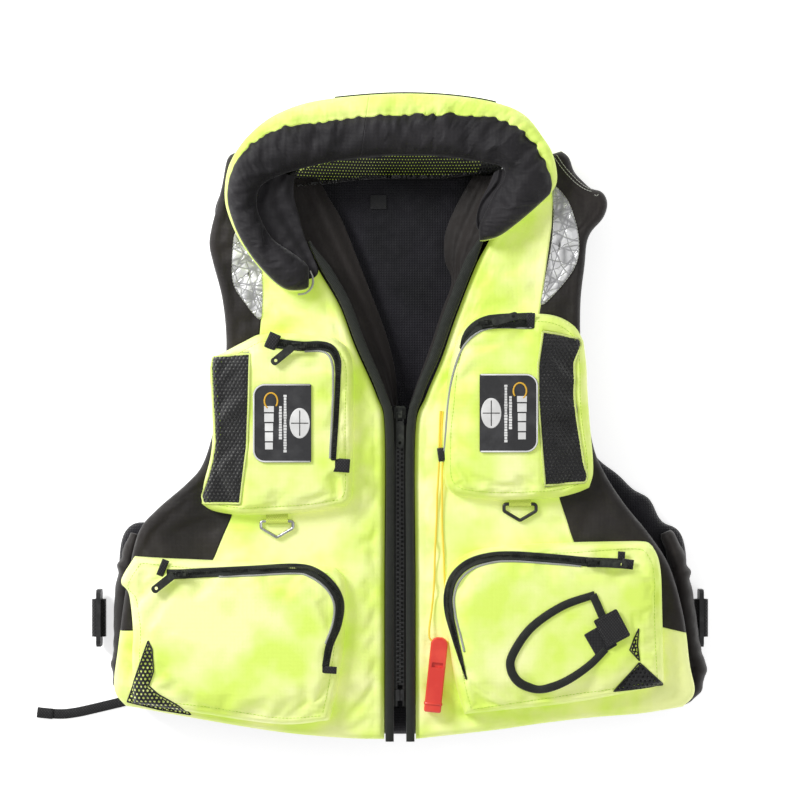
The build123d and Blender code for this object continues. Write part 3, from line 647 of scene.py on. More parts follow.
LOOKS = {
    "front": cloth_look("front_cloth", BRIGHT, 1.3, other=BROWN, glow=GLOW),
    "bright": cloth_look("bright_cloth", BRIGHT, 1.3, other=DARK, glow=GLOW),
    "collar": cloth_look("collar_cloth", PILLOW, 1.3, other=DARK, glow=GLOW, crumple=0.3),
    "dark": cloth_look("dark_cloth", DARK, 1.2, roughness=0.65),
    "brown": cloth_look("brown_cloth", BROWN, 1.2, roughness=0.62),
    "lining": cloth_look("lining_mesh", LINING, 2.6, roughness=0.8, sheen=0.35, depth=0.5, crumple=0.8),
    "net": tape_look("net_thread", ((0.003, 0.003, 0.004), (0.013, 0.013, 0.014)), 1.0, roughness=0.6),
    "tape": tape_look("binding_tape", ((0.005, 0.007, 0.0045), (0.019, 0.024, 0.016)), 1.6),
    "webbing": tape_look("webbing", ((0.006, 0.006, 0.007), (0.028, 0.027, 0.028)), 2.2),
    "webbing_part": tape_look("webbing_part", ((0.006, 0.006, 0.007), (0.028, 0.027, 0.028)), 2.2, False),
    "bright_web": tape_look("bright_webbing", ((0.60, 0.74, 0.10), (0.88, 0.96, 0.24)), 1.8),
    "hook": tape_look("hook_loop", ((0.005, 0.005, 0.006), (0.05, 0.05, 0.052)), 1.5, ribs=False,
                      roughness=0.85),
    "piping": tape_look("piping", ((0.30, 0.31, 0.29), (0.62, 0.63, 0.60)), 1.4),
    "thread": tape_look("white_thread", ((0.55, 0.56, 0.50), (0.85, 0.86, 0.80)), 0.8),
    "bright_thread": tape_look("bright_thread", ((0.46, 0.70, 0.02), (0.66, 0.90, 0.05)), 0.8),
    "dark_thread": tape_look("dark_thread", ((0.02, 0.02, 0.02), (0.07, 0.07, 0.07)), 0.8),
    "bright_edge": tape_look("bright_edge", BRIGHT, 1.4, ribs=False),
    "silver": silver_look(),
    "braid": braid_look(),
    "zip": zip_look(),
    "steel": plastic_look("ring_steel", ((0.50, 0.51, 0.52), (0.72, 0.73, 0.74)), 0.16, metal=1.0),
    "black_ring": plastic_look("ring_black", ((0.012, 0.012, 0.013), (0.05, 0.05, 0.052)), 0.3, coat=0.4),
    "slider": plastic_look("slider_metal", ((0.010, 0.012, 0.009), (0.06, 0.065, 0.05)), 0.3, metal=0.3,
                           size=5.0),
    "pull": plastic_look("pull_rubber", ((0.010, 0.012, 0.009), (0.035, 0.04, 0.03)), 0.55, size=5.0),
    "whistle": plastic_look("whistle_red", ((0.78, 0.045, 0.03), (0.92, 0.085, 0.05)), 0.28, coat=0.35,
                            size=30.0),
    "buckle": plastic_look("buckle", ((0.012, 0.012, 0.013), (0.035, 0.035, 0.037)), 0.42, size=8.0),
    "badge": plastic_look("badge", ((0.022, 0.022, 0.024), (0.045, 0.045, 0.048)), 0.55, size=18.0),
    "print": plastic_look("badge_print", ((0.70, 0.70, 0.69), (0.86, 0.86, 0.85)), 0.5, True, size=20.0),
    "ink": plastic_look("badge_ink", ((0.02, 0.02, 0.02), (0.05, 0.05, 0.05)), 0.5, True),
    "label": tape_look("label_cloth", ((0.008, 0.008, 0.009), (0.024, 0.024, 0.025)), 1.2, False),
    "pouch": cloth_look("pouch_cloth", BRIGHT, 1.3, other=((0.08, 0.08, 0.078), (0.22, 0.22, 0.21)),
                        glow=GLOW),
    "mark": plastic_look("badge_mark", ((0.75, 0.42, 0.03), (0.88, 0.55, 0.06)), 0.5, True, size=20.0),
}


def ride(piece, body, slot, *nodes):
    """Fixes a piece to a body and hides the nodes it stands for; its slot is not used."""
    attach(piece, body)
    if nodes:
        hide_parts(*nodes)
    return piece


def bend(piece, name, slot, *nodes):
    """Cloth that crosses the shoulder: its transform is baked into its mesh and the nodes it stands for are
    hidden.
    """
    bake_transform(piece)
    if nodes:
        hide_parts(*nodes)
    return piece


def paint(node, look):
    """Gives a CAD node its finish."""
    piece = frame["nodes"][node]
    piece.data.materials.clear()
    piece.data.materials.append(LOOKS[look])


# ---- Studio -------------------------------------------------------------------------------------


def studio():
    """Camera straight above, white floor and broad soft lights."""
    lens = bpy.data.cameras.new("camera")
    lens.sensor_width = SENSOR
    lens.lens = SENSOR * (CAMERA_HEIGHT - IN_FOCUS) / VIEW_WIDTH
    lens.clip_end = 50.0
    camera = bpy.data.objects.new("camera", lens)
    camera.location = (0, VIEW_MIDDLE, CAMERA_HEIGHT)
    bpy.context.scene.collection.objects.link(camera)
    bpy.context.scene.camera = camera
    bpy.context.scene.view_settings.view_transform = "Standard"
    ground = bpy.data.meshes.new("floor")
    corners = ((-1, -1), (1, -1), (1, 1), (-1, 1))
    ground.from_pydata([(a * FLOOR_HALF, b * FLOOR_HALF, FLOOR_LEVEL) for a, b in corners], [],
                       [(0, 1, 2, 3)])
    floor = bpy.data.objects.new("floor", ground)
    paper = bpy.data.materials.new("paper")
    paper.use_nodes = True
    sheet = paper.node_tree.nodes["Principled BSDF"].inputs
    sheet["Base Color"].default_value = (0.93, 0.93, 0.93, 1)
    sheet["Roughness"].default_value = 0.9
    sheet["Emission Color"].default_value = (1, 1, 1, 1)
    sheet["Emission Strength"].default_value = FLOOR_GLOW
    ground.materials.append(paper)
    bpy.context.scene.collection.objects.link(floor)
    world = bpy.data.worlds.new("room")
    world.use_nodes = True
    world.node_tree.nodes["Background"].inputs["Color"].default_value = (1, 1, 1, 1)
    world.node_tree.nodes["Background"].inputs["Strength"].default_value = ROOM_LIGHT
    bpy.context.scene.world = world
    for name, at, size, power in LAMPS:
        lamp = bpy.data.lights.new(name, "AREA")
        lamp.size = size
        lamp.energy = power
        placed = bpy.data.objects.new(name, lamp)
        placed.location = at
        placed.rotation_euler = (-Vector(at)).to_track_quat("-Z", "Y").to_euler()
        bpy.context.scene.collection.objects.link(placed)


# ---- Cords --------------------------------------------------------------------------------------

CORD_LOW = FRONT_TOP + 1.6
CORD_POINTS = [
    (39.0, -44.0, 81.0),
    (38.4, -58.0, 78.0),
    (37.0, -80.0, CORD_LOW + 0.6),
    (36.6, -106.0, CORD_LOW),
    (34.8, -136.0, CORD_LOW),
    (34.4, -164.0, CORD_LOW + 0.2),
    (32.4, -188.0, CORD_LOW + 1.0),
    (29.8, -205.0, CORD_LOW + 3.0),
    (28.9, -214.0, CORD_LOW + 4.4),
    (29.6, -222.4, CORD_LOW + 4.9),
    (39.5, -223.7, CORD_LOW + 4.9),
    (49.4, -224.5, CORD_LOW + 4.9),
    (49.9, -215.6, CORD_LOW + 4.4),
    (49.2, -206.0, CORD_LOW + 3.0),
    (46.4, -188.0, CORD_LOW + 1.0),
    (44.4, -164.0, CORD_LOW + 0.2),
    (43.8, -136.0, CORD_LOW),
    (42.0, -106.0, CORD_LOW),
    (42.3, -80.0, CORD_LOW + 0.6),
    (41.9, -58.0, 78.2),
    (42.6, -44.0, 81.0),
]
CORD_DIAMETER = 2.0
STRAP_POINTS = [
    (-287.0, -292.0, 0.8),
    (-312.0, -298.0, 0.8),
    (-334.0, -303.0, 0.8),
    (-352.0, -304.5, 0.8),
    (-372.0, -302.0, 0.8),
]
STRAP_WIDTH = 10.0


def smooth_cord(name, points, diameter=0.0):
    """Curve of one open NURBS spline through the neighbourhood of its points."""
    data = bpy.data.curves.new(name, "CURVE")
    data.dimensions = "3D"
    data.resolution_u = 12
    data.bevel_depth = diameter / 2 * MM
    data.bevel_resolution = 3
    data.use_fill_caps = diameter > 0
    line = data.splines.new("NURBS")
    line.points.add(len(points) - 1)
    for point, at in zip(line.points, points):
        point.co = (*(value * MM for value in at), 1)
    line.order_u = 3
    line.use_endpoint_u = True
    made = bpy.data.objects.new(name, data)
    bpy.context.scene.collection.objects.link(made)
    return made


def route(points):
    """Points along the smooth line of a cord's route, in millimetres."""
    guide = smooth_cord("guide", points)
    line = bpy.data.meshes.new_from_object(guide)
    found = np.array([v.co for v in line.vertices]) / MM
    bpy.data.objects.remove(guide)
    return found


def whistle_on_cord():
    """The whistle as built, and its limp cord."""
    paint("whistle", "whistle")
    cord = smooth_cord("whistle_cord_braid", CORD_POINTS, CORD_DIAMETER)
    cord.data.materials.append(LOOKS["braid"])
    ride(cord, "whistle", "cord_yellow", "whistle_cord")


def hem_strap():
    """Free end of the waist webbing, with its root at the hem."""
    line = route(STRAP_POINTS)
    strap = sweep("hem_strap", line - (0, 0, 0.8), band_section(STRAP_WIDTH, 1.6), LOOKS["webbing"])
    ride(strap, "back", "webbing", "free_strap")
    tip_line = line[-8:] + (0.5, 0, 0.85)
    tip = sweep("hem_strap_fold", tip_line, band_section(STRAP_WIDTH + 0.8, 1.5), LOOKS["webbing"])
    ride(tip, "back", "webbing")
    root_line = curve([(-258, -283), (-272, -287.4), (-289, -292.5)], 24)
    root_level = np.linspace(2.4, 0.05, 24)
    root = sweep("hem_strap_root", np.c_[root_line, root_level], band_section(STRAP_WIDTH + 0.3, 1.7),
                 LOOKS["webbing"])
    ride(root, "back", "webbing")


# ---- Fronts and back ----------------------------------------------------------------------------

# Edges as (out, y): the zip and neck edge, the side and armhole edge, and the hem between them
FRONT_INNER = {
    "right": [(15, -324), (15, -170), (15, -14), (23, 22), (45, 72), (60, 112), (80, 146),
              (98, 178), (112, 226), (120, 255)],
    "left": [(15, -324), (15, -170), (15, -16), (25, 20), (42, 61), (55, 99), (76, 153), (90, 180),
             (108, 226), (116, 255)],
}
FRONT_OUTER = {
    "right": [(276, -290), (288, -272), (284, -230), (276, -170), (264, -116), (245, -92),
              (215, -66), (198, -45), (185, 0), (177, 45), (175, 80), (179, 120), (188, 155),
              (192, 174), (190, 190), (186, 206), (179, 234), (173, 262), (160, 268)],
    "left": [(284, -291), (297, -276), (292, -247), (286, -200), (272, -150), (252, -118),
             (226, -86), (206, -55), (194, -25), (187, 30), (182, 75), (182, 119), (186, 154),
             (188, 176), (193, 188), (204, 200), (209, 213), (207, 223), (201, 229), (193, 230),
             (184, 238), (175, 248), (170, 262), (161, 269)],
}
FRONT_HEM = {
    "right": [(15, -324), (55, -323), (120, -317), (200, -304), (276, -290)],
    "left": [(15, -324), (51, -320), (102, -314), (143, -308), (194, -302), (242, -298), (284, -291)],
}
# The dark cloth of each front: it starts at this line and runs out to the armhole and shoulder
DARK_LINE = {
    "right": [(60, 238), (138, 236), (138, 160), (140, 140), (139, 100), (141, 80), (150, 0),
              (168, -97), (187, -142), (215, -190), (262, -213), (310, -214)],
    "left": [(60, 240), (154, 238), (152, 194), (150, 178), (146, 148), (141, 113), (139, 102),
             (141, 60), (150, 10), (159, -79), (174, -124), (192, -170), (225, -203), (264, -210),
             (310, -221)],
}
SILVER = {
    "right": [(165, 186), (168, 160), (167, 135), (157, 118), (141, 99), (138, 112), (138, 138),
              (140, 158), (146, 174), (156, 187)],
    "left": [(153, 232), (165, 222), (173, 206), (179, 180), (177, 156), (164, 135), (142, 113),
             (144, 130), (148, 152), (152, 176), (154, 205)],
}
# Folds of each front as (x1, y1, x2, y2, height, half width), with x as distance out
FRONT_FOLDS = {
    "right": [(20, -60, 70, -118, 2.2, 7), (18, -110, 66, -150, -2.0, 6), (20, -150, 62, -196, 2.4, 7),
              (18, -190, 60, -240, -2.0, 6), (20, -228, 58, -276, 2.0, 7), (16, -262, 62, -306, -1.8, 6),
              (120, -108, 215, -128, 2.0, 8), (60, 96, 130, 118, -1.8, 7), (70, 118, 132, 134, 1.8, 7),
              (25, 0, 48, 60, 1.6, 6), (200, -70, 262, -128, 2.4, 9), (176, -100, 240, -124, -2.0, 8)],
    "left": [(20, -40, 46, -150, 2.2, 7), (70, -96, 150, -122, 1.8, 9), (60, -118, 170, -104, -1.6, 8),
             (60, 110, 130, 150, 1.4, 9), (90, 120, 140, 170, -1.4, 8), (196, -50, 246, -150, 2.6, 8),
             (176, -76, 236, -116, -2.2, 8), (226, -90, 280, -170, 2.2, 9), (30, -280, 200, -300, 1.2, 8)],
}


def mirrored(name, rows):
    """Rows of (out, y) as (x, y) on the named side."""
    return np.array(rows, float) * (SIDES[name], 1)


def front_grid(name):
    """Points over one front and its shoulder, and their distance to the edge."""
    inner = curve(mirrored(name, FRONT_INNER[name]), 400)
    outer = curve(mirrored(name, FRONT_OUTER[name]), 400)
    hem = curve(mirrored(name, FRONT_HEM[name]), 200)
    top = np.linspace(inner[-1], outer[-1], 60)
    hem[0], hem[-1] = inner[0], outer[0]
    grid = patch(hem, top, inner, outer, spaced(50), spaced(110, 0.35))
    loop = np.vstack([hem, outer[1:], top[::-1][1:], inner[::-1][1:-1]])
    return grid, distance(grid.reshape(-1, 2), loop)


def dark_loop(name):
    """Closed outline of a front's dark cloth."""
    line = DARK_LINE[name]
    return mirrored(name, line + [(420, line[-1][1]), (420, 420), (40, 420), (40, line[0][1])])


def front_panel(name):
    """Foam-filled front with its shoulder: bright cloth, darker side insert and yoke, lining below."""
    grid, gap = front_grid(name)
    flat = grid.reshape(-1, 2)
    out = flat * (SIDES[name], 1)
    dark = signed(flat, dark_loop(name))
    rise = round_edge(gap, FRONT_ROUND)
    relief = (
        1.5 * folds(out, FRONT_FOLDS[name])
        + 1.5 * ripple(out, 34, 2.5, 35, 1.0)
        + 0.9 * ripple(out, 15, 2, -20, 2.0)
    )
    top = SEAM_LEVEL + 12.0 * rise + relief * smooth_step(gap, 2, 22) - 1.3 * np.exp(-((dark / 3.0) ** 2))
    top = np.where(top > FRONT_TOP, FRONT_TOP + 1.2 * np.tanh((top - FRONT_TOP) / 1.6), top)
    drop = 18.0 * smooth_step(flat[:, 1], 204, 214)
    bottom = SEAM_LEVEL - 13.0 * round_edge(gap, FRONT_UNDER_ROUND) - drop
    shape = grid.shape[:2]
    piece = shell(
        name + "_front_panel", grid, top.reshape(shape), bottom.reshape(shape),
        [LOOKS["front"], LOOKS["lining"]], {"dark": dark.reshape(shape)},
    )
    free = np.zeros(len(piece.data.vertices))
    free[: len(flat)] = smooth_step(gap, 4, 14) * (1 - 0.7 * np.exp(-((dark / 5.0) ** 2)))
    simulate(piece, free, pressure=3.0, slack=0.035, cap=5.0, ceiling=FRONT_TOP + 0.4,
             floor=FRONT_TOP - 5.0)
    soften(piece)
    nodes = [name + "_" + part for part in ("front_cover", "front_foam", "front_lining")]
    return bend(piece, name, "bright_cloth", *nodes, "shoulder_yokes")


def silver_patch(name, height):
    """Crinkled reflective patch, laid over the shoulder."""
    loop = curve(mirrored(name, SILVER[name]), 90, closed=True)
    centre = loop.mean(0)
    shares = np.r_[0.04, np.linspace(0.12, 0.96, 15), 1.0]
    rings = np.array([centre + (loop - centre) * share for share in shares])
    flat = rings.reshape(-1, 2)
    crumple = 1.3 * np.abs(ripple(flat, 11, 2.4, 50, 5.0)) + 1.1 * np.abs(ripple(flat, 9, 2.6, -35, 6.0))
    lift = 0.5 + crumple * np.repeat(round_edge(1 - shares, 0.15), len(loop))
    levels = np.array([height(x, y) for x, y in flat]) + lift
    points = np.c_[flat, levels]
    faces = grid_faces(len(rings), len(loop), wrap=True) + [tuple(range(len(loop)))]
    piece = make(name + "_silver_patch", points, faces, LOOKS["silver"])
    turn = piece.data.polygons[5].normal.z
    if turn < 0:
        piece.data.flip_normals()
    thick = piece.modifiers.new("thick", "SOLIDIFY")
    thick.thickness = 0.6 * MM
    bend(piece, name, "reflective", name + "_reflector")
    edge = drape(loop, height, 0.9)
    bend(dashes(name + "_patch_stitches", [np.vstack([edge, edge[:1]])], LOOKS["thread"], 3.4, 2.2, 0.28),
         name, "label_cloth")


YOKE_LINES = [
    [(154, 262), (163, 249.5), (175, 236.5), (185, 229.5), (194, 226.5)],
    [(156.5, 264.5), (165, 252), (177, 239), (186, 232), (193, 229.2)],
    [(194, 224.5), (197, 222.5), (200, 225.5)],
]


def yoke_stitches(height):
    """Pale top-stitching on the wearer's left shoulder, with a bar tack at its end."""
    lines = [drape(curve(line, 40), height, 0.2, ease=1) for line in YOKE_LINES]
    bend(dashes("left_yoke_stitches", lines, LOOKS["thread"], 2.9, 2.2, 0.34), "left", "label_cloth")


BACK_SIDE = {
    "right": [(276, -290), (291, -264), (284, -236), (281, -200), (288, -160), (285, -122),
              (272, -107), (248, -106), (240, -88), (224, -74), (197, -53), (184, -20), (172, 40),
              (172, 100), (177, 150), (184, 186), (190, 212), (178, 240), (165, 255)],
    "left": [(284, -291), (302, -276), (304, -250), (294, -222), (294, -175), (293, -135),
             (285, -113), (268, -106), (256, -82), (240, -74), (224, -58), (204, -43), (192, -24),
             (180, 20), (174, 80), (178, 150), (186, 186), (197, 212), (180, 240), (165, 255)],
}


def back_panel():
    """Foam-filled back: the lining faces up, between the fronts, and the cover lies on the floor."""
    left = curve(mirrored("right", BACK_SIDE["right"]), 400)
    right = curve(mirrored("left", BACK_SIDE["left"]), 400)
    hem = curve([(-276, -290), (-200, -304), (-110, -317), (0, -324), (110, -317), (200, -304),
                 (284, -291)], 200)
    hem[0], hem[-1] = left[0], right[0]
    top = np.linspace(left[-1], right[-1], 80)
    grid = patch(hem, top, left, right, spaced(80, 0.4), spaced(90, 0.4))
    loop = np.vstack([hem, right[1:], top[::-1][1:], left[::-1][1:-1]])
    flat = grid.reshape(-1, 2)
    gap = distance(flat, loop)
    relief = 0.8 * ripple(flat, 60, 1.5, 80, 11.0) + 0.4 * ripple(flat, 24, 2.0, 70, 12.0)
    upper = 14.0 + 13.2 * round_edge(gap, BACK_ROUND) + relief * smooth_step(gap, 5, 30)
    lower = 14.0 - 13.8 * round_edge(gap, BACK_UNDER_ROUND)
    shape = grid.shape[:2]
    piece = shell(
        "back_panel", grid, np.minimum(upper, 27.8).reshape(shape), lower.reshape(shape),
        [LOOKS["lining"], LOOKS["dark"]],
    )
    soften(piece)
    return ride(piece, "back", "lining_cloth", "back_cover", "back_foam", "back_lining")


# ---- Pockets ------------------------------------------------------------------------------------

CHEST_EDGES = {
    "right": {
        "inner": [(54, -88), (48, -76), (46, -30), (46, 20), (47, 55), (54, 72)],
        "top": [(54, 72), (68, 81), (100, 85), (137, 85), (156, 77), (175, 67), (188, 61)],
        "outer": [(199, -86), (197, -66), (190, -38), (188, -12), (190, 25), (191, 48), (188, 61)],
        "bottom": [(54, -88), (94, -95), (145, -98), (168, -97), (188, -93), (199, -86)],
    },
    "left": {
        "inner": [(50, -74), (44, -62), (42, -20), (44, 8), (49, 50), (58, 82)],
        "top": [(58, 82), (70, 97), (86, 104), (135, 105), (158, 102), (175, 92), (184, 77)],
        "outer": [(190, -70), (194, -50), (190, 0), (188, 30), (187, 52), (184, 77)],
        "bottom": [(50, -74), (62, -79), (100, -83), (150, -81), (175, -76), (190, -70)],
    },
}
POUCH_SEAM = {"right": 152.0, "left": 141.0}
POUCH_MESH = {
    "right": [(187, 61), (149, 64), (150, 18), (152, -30), (159, -85), (196, -85), (198, -78),
              (191, -58), (187, -43), (184, -25), (186, 13), (188, 51)],
    "left": [(142, 86), (160, 83), (179, 79), (181, 74), (174, 55), (174, 15), (178, -10),
             (183, -43), (187, -58), (185, -64), (144, -67), (141, -33), (137, 18), (137, 53)],
}
CHEST_FOLDS = {
    "right": [(60, -70, 140, -78, 1.2, 8), (60, 50, 140, 44, -1.6, 6), (52, 30, 64, -60, 1.4, 5),
              (100, -50, 150, -90, 1.4, 7), (156, 20, 188, -10, 1.8, 7),
              (158, -30, 192, -62, 1.8, 7), (160, 56, 188, 30, 1.4, 6),
              (70, -50, 60, -84, -1.4, 5)],
    "left": [(60, 66, 132, 78, -1.6, 6), (56, 40, 74, 70, 1.4, 6), (60, -44, 132, -60, 1.3, 8),
             (50, -30, 66, -72, 1.6, 6), (100, -40, 136, -74, -1.4, 6), (142, 60, 176, 30, 1.8, 7),
             (142, -10, 182, -50, 1.8, 8), (80, 80, 130, 62, 1.2, 7)],
}
CARGO_EDGES = {
    "right": {
        "inner": [(70, -303), (62, -270), (55, -225), (53, -180), (55, -160), (64, -149)],
        "top": [(64, -149), (95, -145), (187, -142), (250, -139), (266, -138)],
        "outer": [(267, -285), (269, -240), (268, -212), (272, -176), (280, -163), (266, -138)],
        "bottom": [(70, -303), (120, -307), (200, -296), (267, -285)],
    },
    "left": {
        "inner": [(64, -297), (56, -270), (47, -225), (43, -185), (46, -158), (58, -140)],
        "top": [(58, -140), (78, -131), (120, -126), (174, -124), (240, -123), (253, -128)],
        "outer": [(265, -266), (264, -230), (263, -190), (262, -158), (259, -140), (253, -128)],
        "bottom": [(64, -297), (102, -293), (160, -287), (220, -277), (265, -266)],
    },
}
CARGO_FOLDS = {
    "right": [(150, -244, 74, -160, 1.8, 16), (196, -270, 100, -186, -1.6, 12),
              (248, -220, 222, -190, 2.4, 6), (250, -218, 210, -206, -2.2, 5),
              (246, -236, 196, -232, 1.6, 7), (82, -250, 92, -300, 2.0, 6),
              (100, -262, 82, -304, -1.8, 5), (232, -160, 262, -200, 1.8, 7),
              (120, -290, 240, -286, 1.2, 8), (270, -190, 226, -150, -1.6, 6)],
    "left": [(196, -146, 216, -188, 2.4, 5), (222, -190, 262, -160, 2.6, 6),
             (228, -186, 236, -240, -2.2, 5), (242, -160, 246, -210, 1.6, 6),
             (126, -262, 190, -250, 1.8, 6), (130, -244, 180, -226, -1.4, 7),
             (64, -260, 110, -286, 1.8, 6), (120, -280, 240, -268, -1.4, 5),
             (70, -180, 120, -200, 1.2, 12), (196, -262, 256, -236, 1.4, 7),
             (150, -160, 230, -152, -1.0, 5)],
}
DRAIN = {
    "right": [(250, -221), (246, -229), (245, -252), (250, -266), (240, -275), (221, -286),
              (209, -297), (240, -292), (273, -284)],
    "left": [(238, -243), (262, -265), (263, -267), (213, -272)],
}
DRAIN_GAP = {"right": None, "left": [(237, -209), (236, -226), (238, -241), (228, -230)]}
# Zip lines, and where the tape turns the corner of the pocket
CHEST_ZIP = {
    "right": [(124, 74.5), (98, 71.6), (80, 72), (69, 69), (63, 60), (61.5, 48), (63, 10), (66, -42)],
    "left": [(132, 97), (100, 96.5), (83, 94.3), (72, 88.5), (64, 79), (60, 69)],
}
CARGO_ZIP = {
    "right": [(232, -155), (216, -154.8), (145, -151.4), (104, -149.6), (84, -154), (68, -167),
              (60, -184), (62, -205), (70, -226), (74, -247)],
    "left": [(218, -144), (190, -143), (150, -139.5), (112, -137), (88, -138.5), (68, -145),
             (54, -158), (48, -176), (49, -195), (54, -216), (60, -238), (66, -260)],
}
# Light piping along each zip, where it shows
CHEST_PIPING = {
    "right": [(95, 66.2), (80, 66.6), (71.5, 63), (67.5, 54), (66.5, 40), (67, 14), (69.5, -40)],
    "left": [(131, 89.5), (100, 90), (86, 88.5), (76, 84), (66, 75), (59, 63), (52, 40), (48, 15),
             (45.5, -16), (43.5, -44)],
}
CARGO_PIPING = {
    "right": [(180, -157.6), (145, -156.4), (104, -154.6), (88, -158.4), (73, -170), (65.6, -185),
              (67, -204), (74, -224)],
    "left": [(180, -147), (150, -144.6), (112, -142.2), (91, -143.6), (73, -149.6), (60, -161),
             (54, -177), (55, -195), (60, -215), (64, -232)],
}


def pocket_grid(name, edges, us, vs):
    """Points over one pocket, and its outline."""
    inner, outer = curve(mirrored(name, edges["inner"]), 300), curve(mirrored(name, edges["outer"]), 300)
    bottom, top = curve(mirrored(name, edges["bottom"]), 300), curve(mirrored(name, edges["top"]), 300)
    grid = patch(bottom, top, inner, outer, us, vs)
    loop = np.vstack([bottom, outer[1:], top[::-1][1:], inner[::-1][1:-1]])
    return grid, loop


def pocket(name, kind, edges, level, wrinkles, dark, radius, seed, nodes):
    """Padded pocket on a front: it stands on the panel and its face is as high as its zip."""
    grid, loop = pocket_grid(name, edges, spaced(52), spaced(60))
    flat = grid.reshape(-1, 2)
    out = flat * (SIDES[name], 1)
    gap = distance(flat, loop)
    rise = round_edge(gap, radius)
    face = np.full(len(flat), level - 0.6)
    if kind == "chest":
        seam = POUCH_SEAM[name]
        face -= 10.0 * smooth_step(out[:, 0], seam - 4, seam + 44)
    waves = 2.6 * ripple(out, 34, 2.2, 25, seed) + 1.5 * ripple(out, 15, 2.0, -40, seed + 1) - 1.8
    relief = (2.2 * folds(out, wrinkles) + waves) * smooth_step(gap, 3, 18)
    foot = FRONT_TOP - 3.0
    top = foot + (face - foot) * rise + relief
    mask = (
        np.max([signed(flat, mirrored(name, loop)) for loop in dark], axis=0)
        if dark
        else np.full(len(flat), -9.0)
    )
    top -= 1.2 * np.exp(-((mask / 2.5) ** 2))
    roof = level - 0.7
    top = np.where(top > roof, roof + 0.6 * np.tanh((top - roof) / 1.5), top)
    shape = grid.shape[:2]
    piece = shell(
        f"{name}_{kind}_bag", grid, top.reshape(shape), np.full(shape, foot),
        LOOKS["pouch" if kind == "chest" else "bright"], {"dark": mask.reshape(shape)}
    )
    free = np.zeros(len(piece.data.vertices))
    free[: len(flat)] = smooth_step(gap, 3, 10)
    simulate(piece, free, pressure=4.0, slack=0.05, cap=6.0, ceiling=level - 0.1, floor=level - 12.0)
    soften(piece)
    return ride(piece, name + "_front", "bright_cloth", *nodes)


def polygon(points, count):
    """Closed outline with its corners kept."""
    loop = np.vstack([points, points[:1]])
    return along(loop, np.linspace(0, 1, count + 1)[:-1])


def net(name, loop, height, pitch, lift, thread=0.9):
    """Open mesh of six-sided holes over a surface, trimmed to a loop."""
    low, high = loop.min(0), loop.max(0)
    apart = pitch * math.sqrt(3) / 2
    points, index, faces = [], {}, []
    turns = np.linspace(0, 2 * math.pi, 6, endpoint=False) + math.pi / 6
    corners = np.c_[np.cos(turns), np.sin(turns)] * pitch / math.sqrt(3)
    rows = np.arange(low[1] - pitch, high[1] + pitch, apart)
    centres = [
        (x, y) for r, y in enumerate(rows)
        for x in np.arange(low[0] - pitch + (r % 2) * pitch / 2, high[0] + pitch, pitch)
    ]
    centres = np.array(centres)[inside(np.array(centres), loop)]
    for centre in centres:
        ring = []
        for corner in centre + corners:
            key = tuple(np.round(corner, 1))
            if key not in index:
                index[key] = len(points)
                points.append(corner)
            ring.append(index[key])
        base = len(points)
        points += list(centre + corners * (1 - thread * math.sqrt(3) / pitch))
        faces += [(ring[i], ring[(i + 1) % 6], base + (i + 1) % 6, base + i) for i in range(6)]
    points = np.array(points)
    outside = signed(points, loop) < 0.6
    dense = along(np.vstack([loop, loop[:1]]), np.linspace(0, 1, 600))
    for i in np.flatnonzero(outside):
        points[i] = dense[((dense - points[i]) ** 2).sum(1).argmin()]
    levels = np.array([height(x, y) for x, y in points]) + lift
    levels += 0.35 * ripple(points, 7, 1.0, 0, 3.0)
    piece = make(name, np.c_[points, levels], faces, LOOKS["net"])
    thick = piece.modifiers.new("thick", "SOLIDIFY")
    thick.thickness = 0.7 * MM
    thick.offset = 0
    return piece


def pad(name, centre, size, angle, base, thick, look):
    """Small folded piece of tape with eased edges."""
    wide, tall = size[0] / 2, size[1] / 2
    grid = np.array([[(a * wide, b * tall) for a in np.linspace(-1, 1, 9)] for b in np.linspace(-1, 1, 9)])
    flat = grid.reshape(-1, 2)
    edge = np.minimum(wide - np.abs(flat[:, 0]), tall - np.abs(flat[:, 1]))
    upper = base + thick * (0.45 + 0.55 * round_edge(edge, 1.2))
    turn = math.radians(angle)
    spin = np.array([[math.cos(turn), math.sin(turn)], [-math.sin(turn), math.cos(turn)]])
    placed = (flat @ spin + centre).reshape(grid.shape)
    rim = np.ones((9, 9), bool)
    rim[1:-1, 1:-1] = False
    upper = np.where(rim.ravel(), base + thick * 0.45, upper)
    piece = shell(name, placed, upper.reshape(9, 9), np.full((9, 9), base), look)
    return soften(piece)


def lay(tape, line, height):
    """Drapes a swept tape across its width too, eased along its length."""
    points = points_of(tape).reshape(len(line), -1, 3)
    rise = points[..., 2] - line[:, None, 2]
    below = np.array([height(x, y) for x, y in points[..., :2].reshape(-1, 2)]).reshape(rise.shape)
    below = np.maximum(below, line[:, None, 2] - 5.0)
    for _ in range(4):
        below[1:-1] = (below[:-2] + 2 * below[1:-1] + below[2:]) / 4
    points[..., 2] = below + rise + 0.15
    set_points(tape, points.reshape(-1, 3))


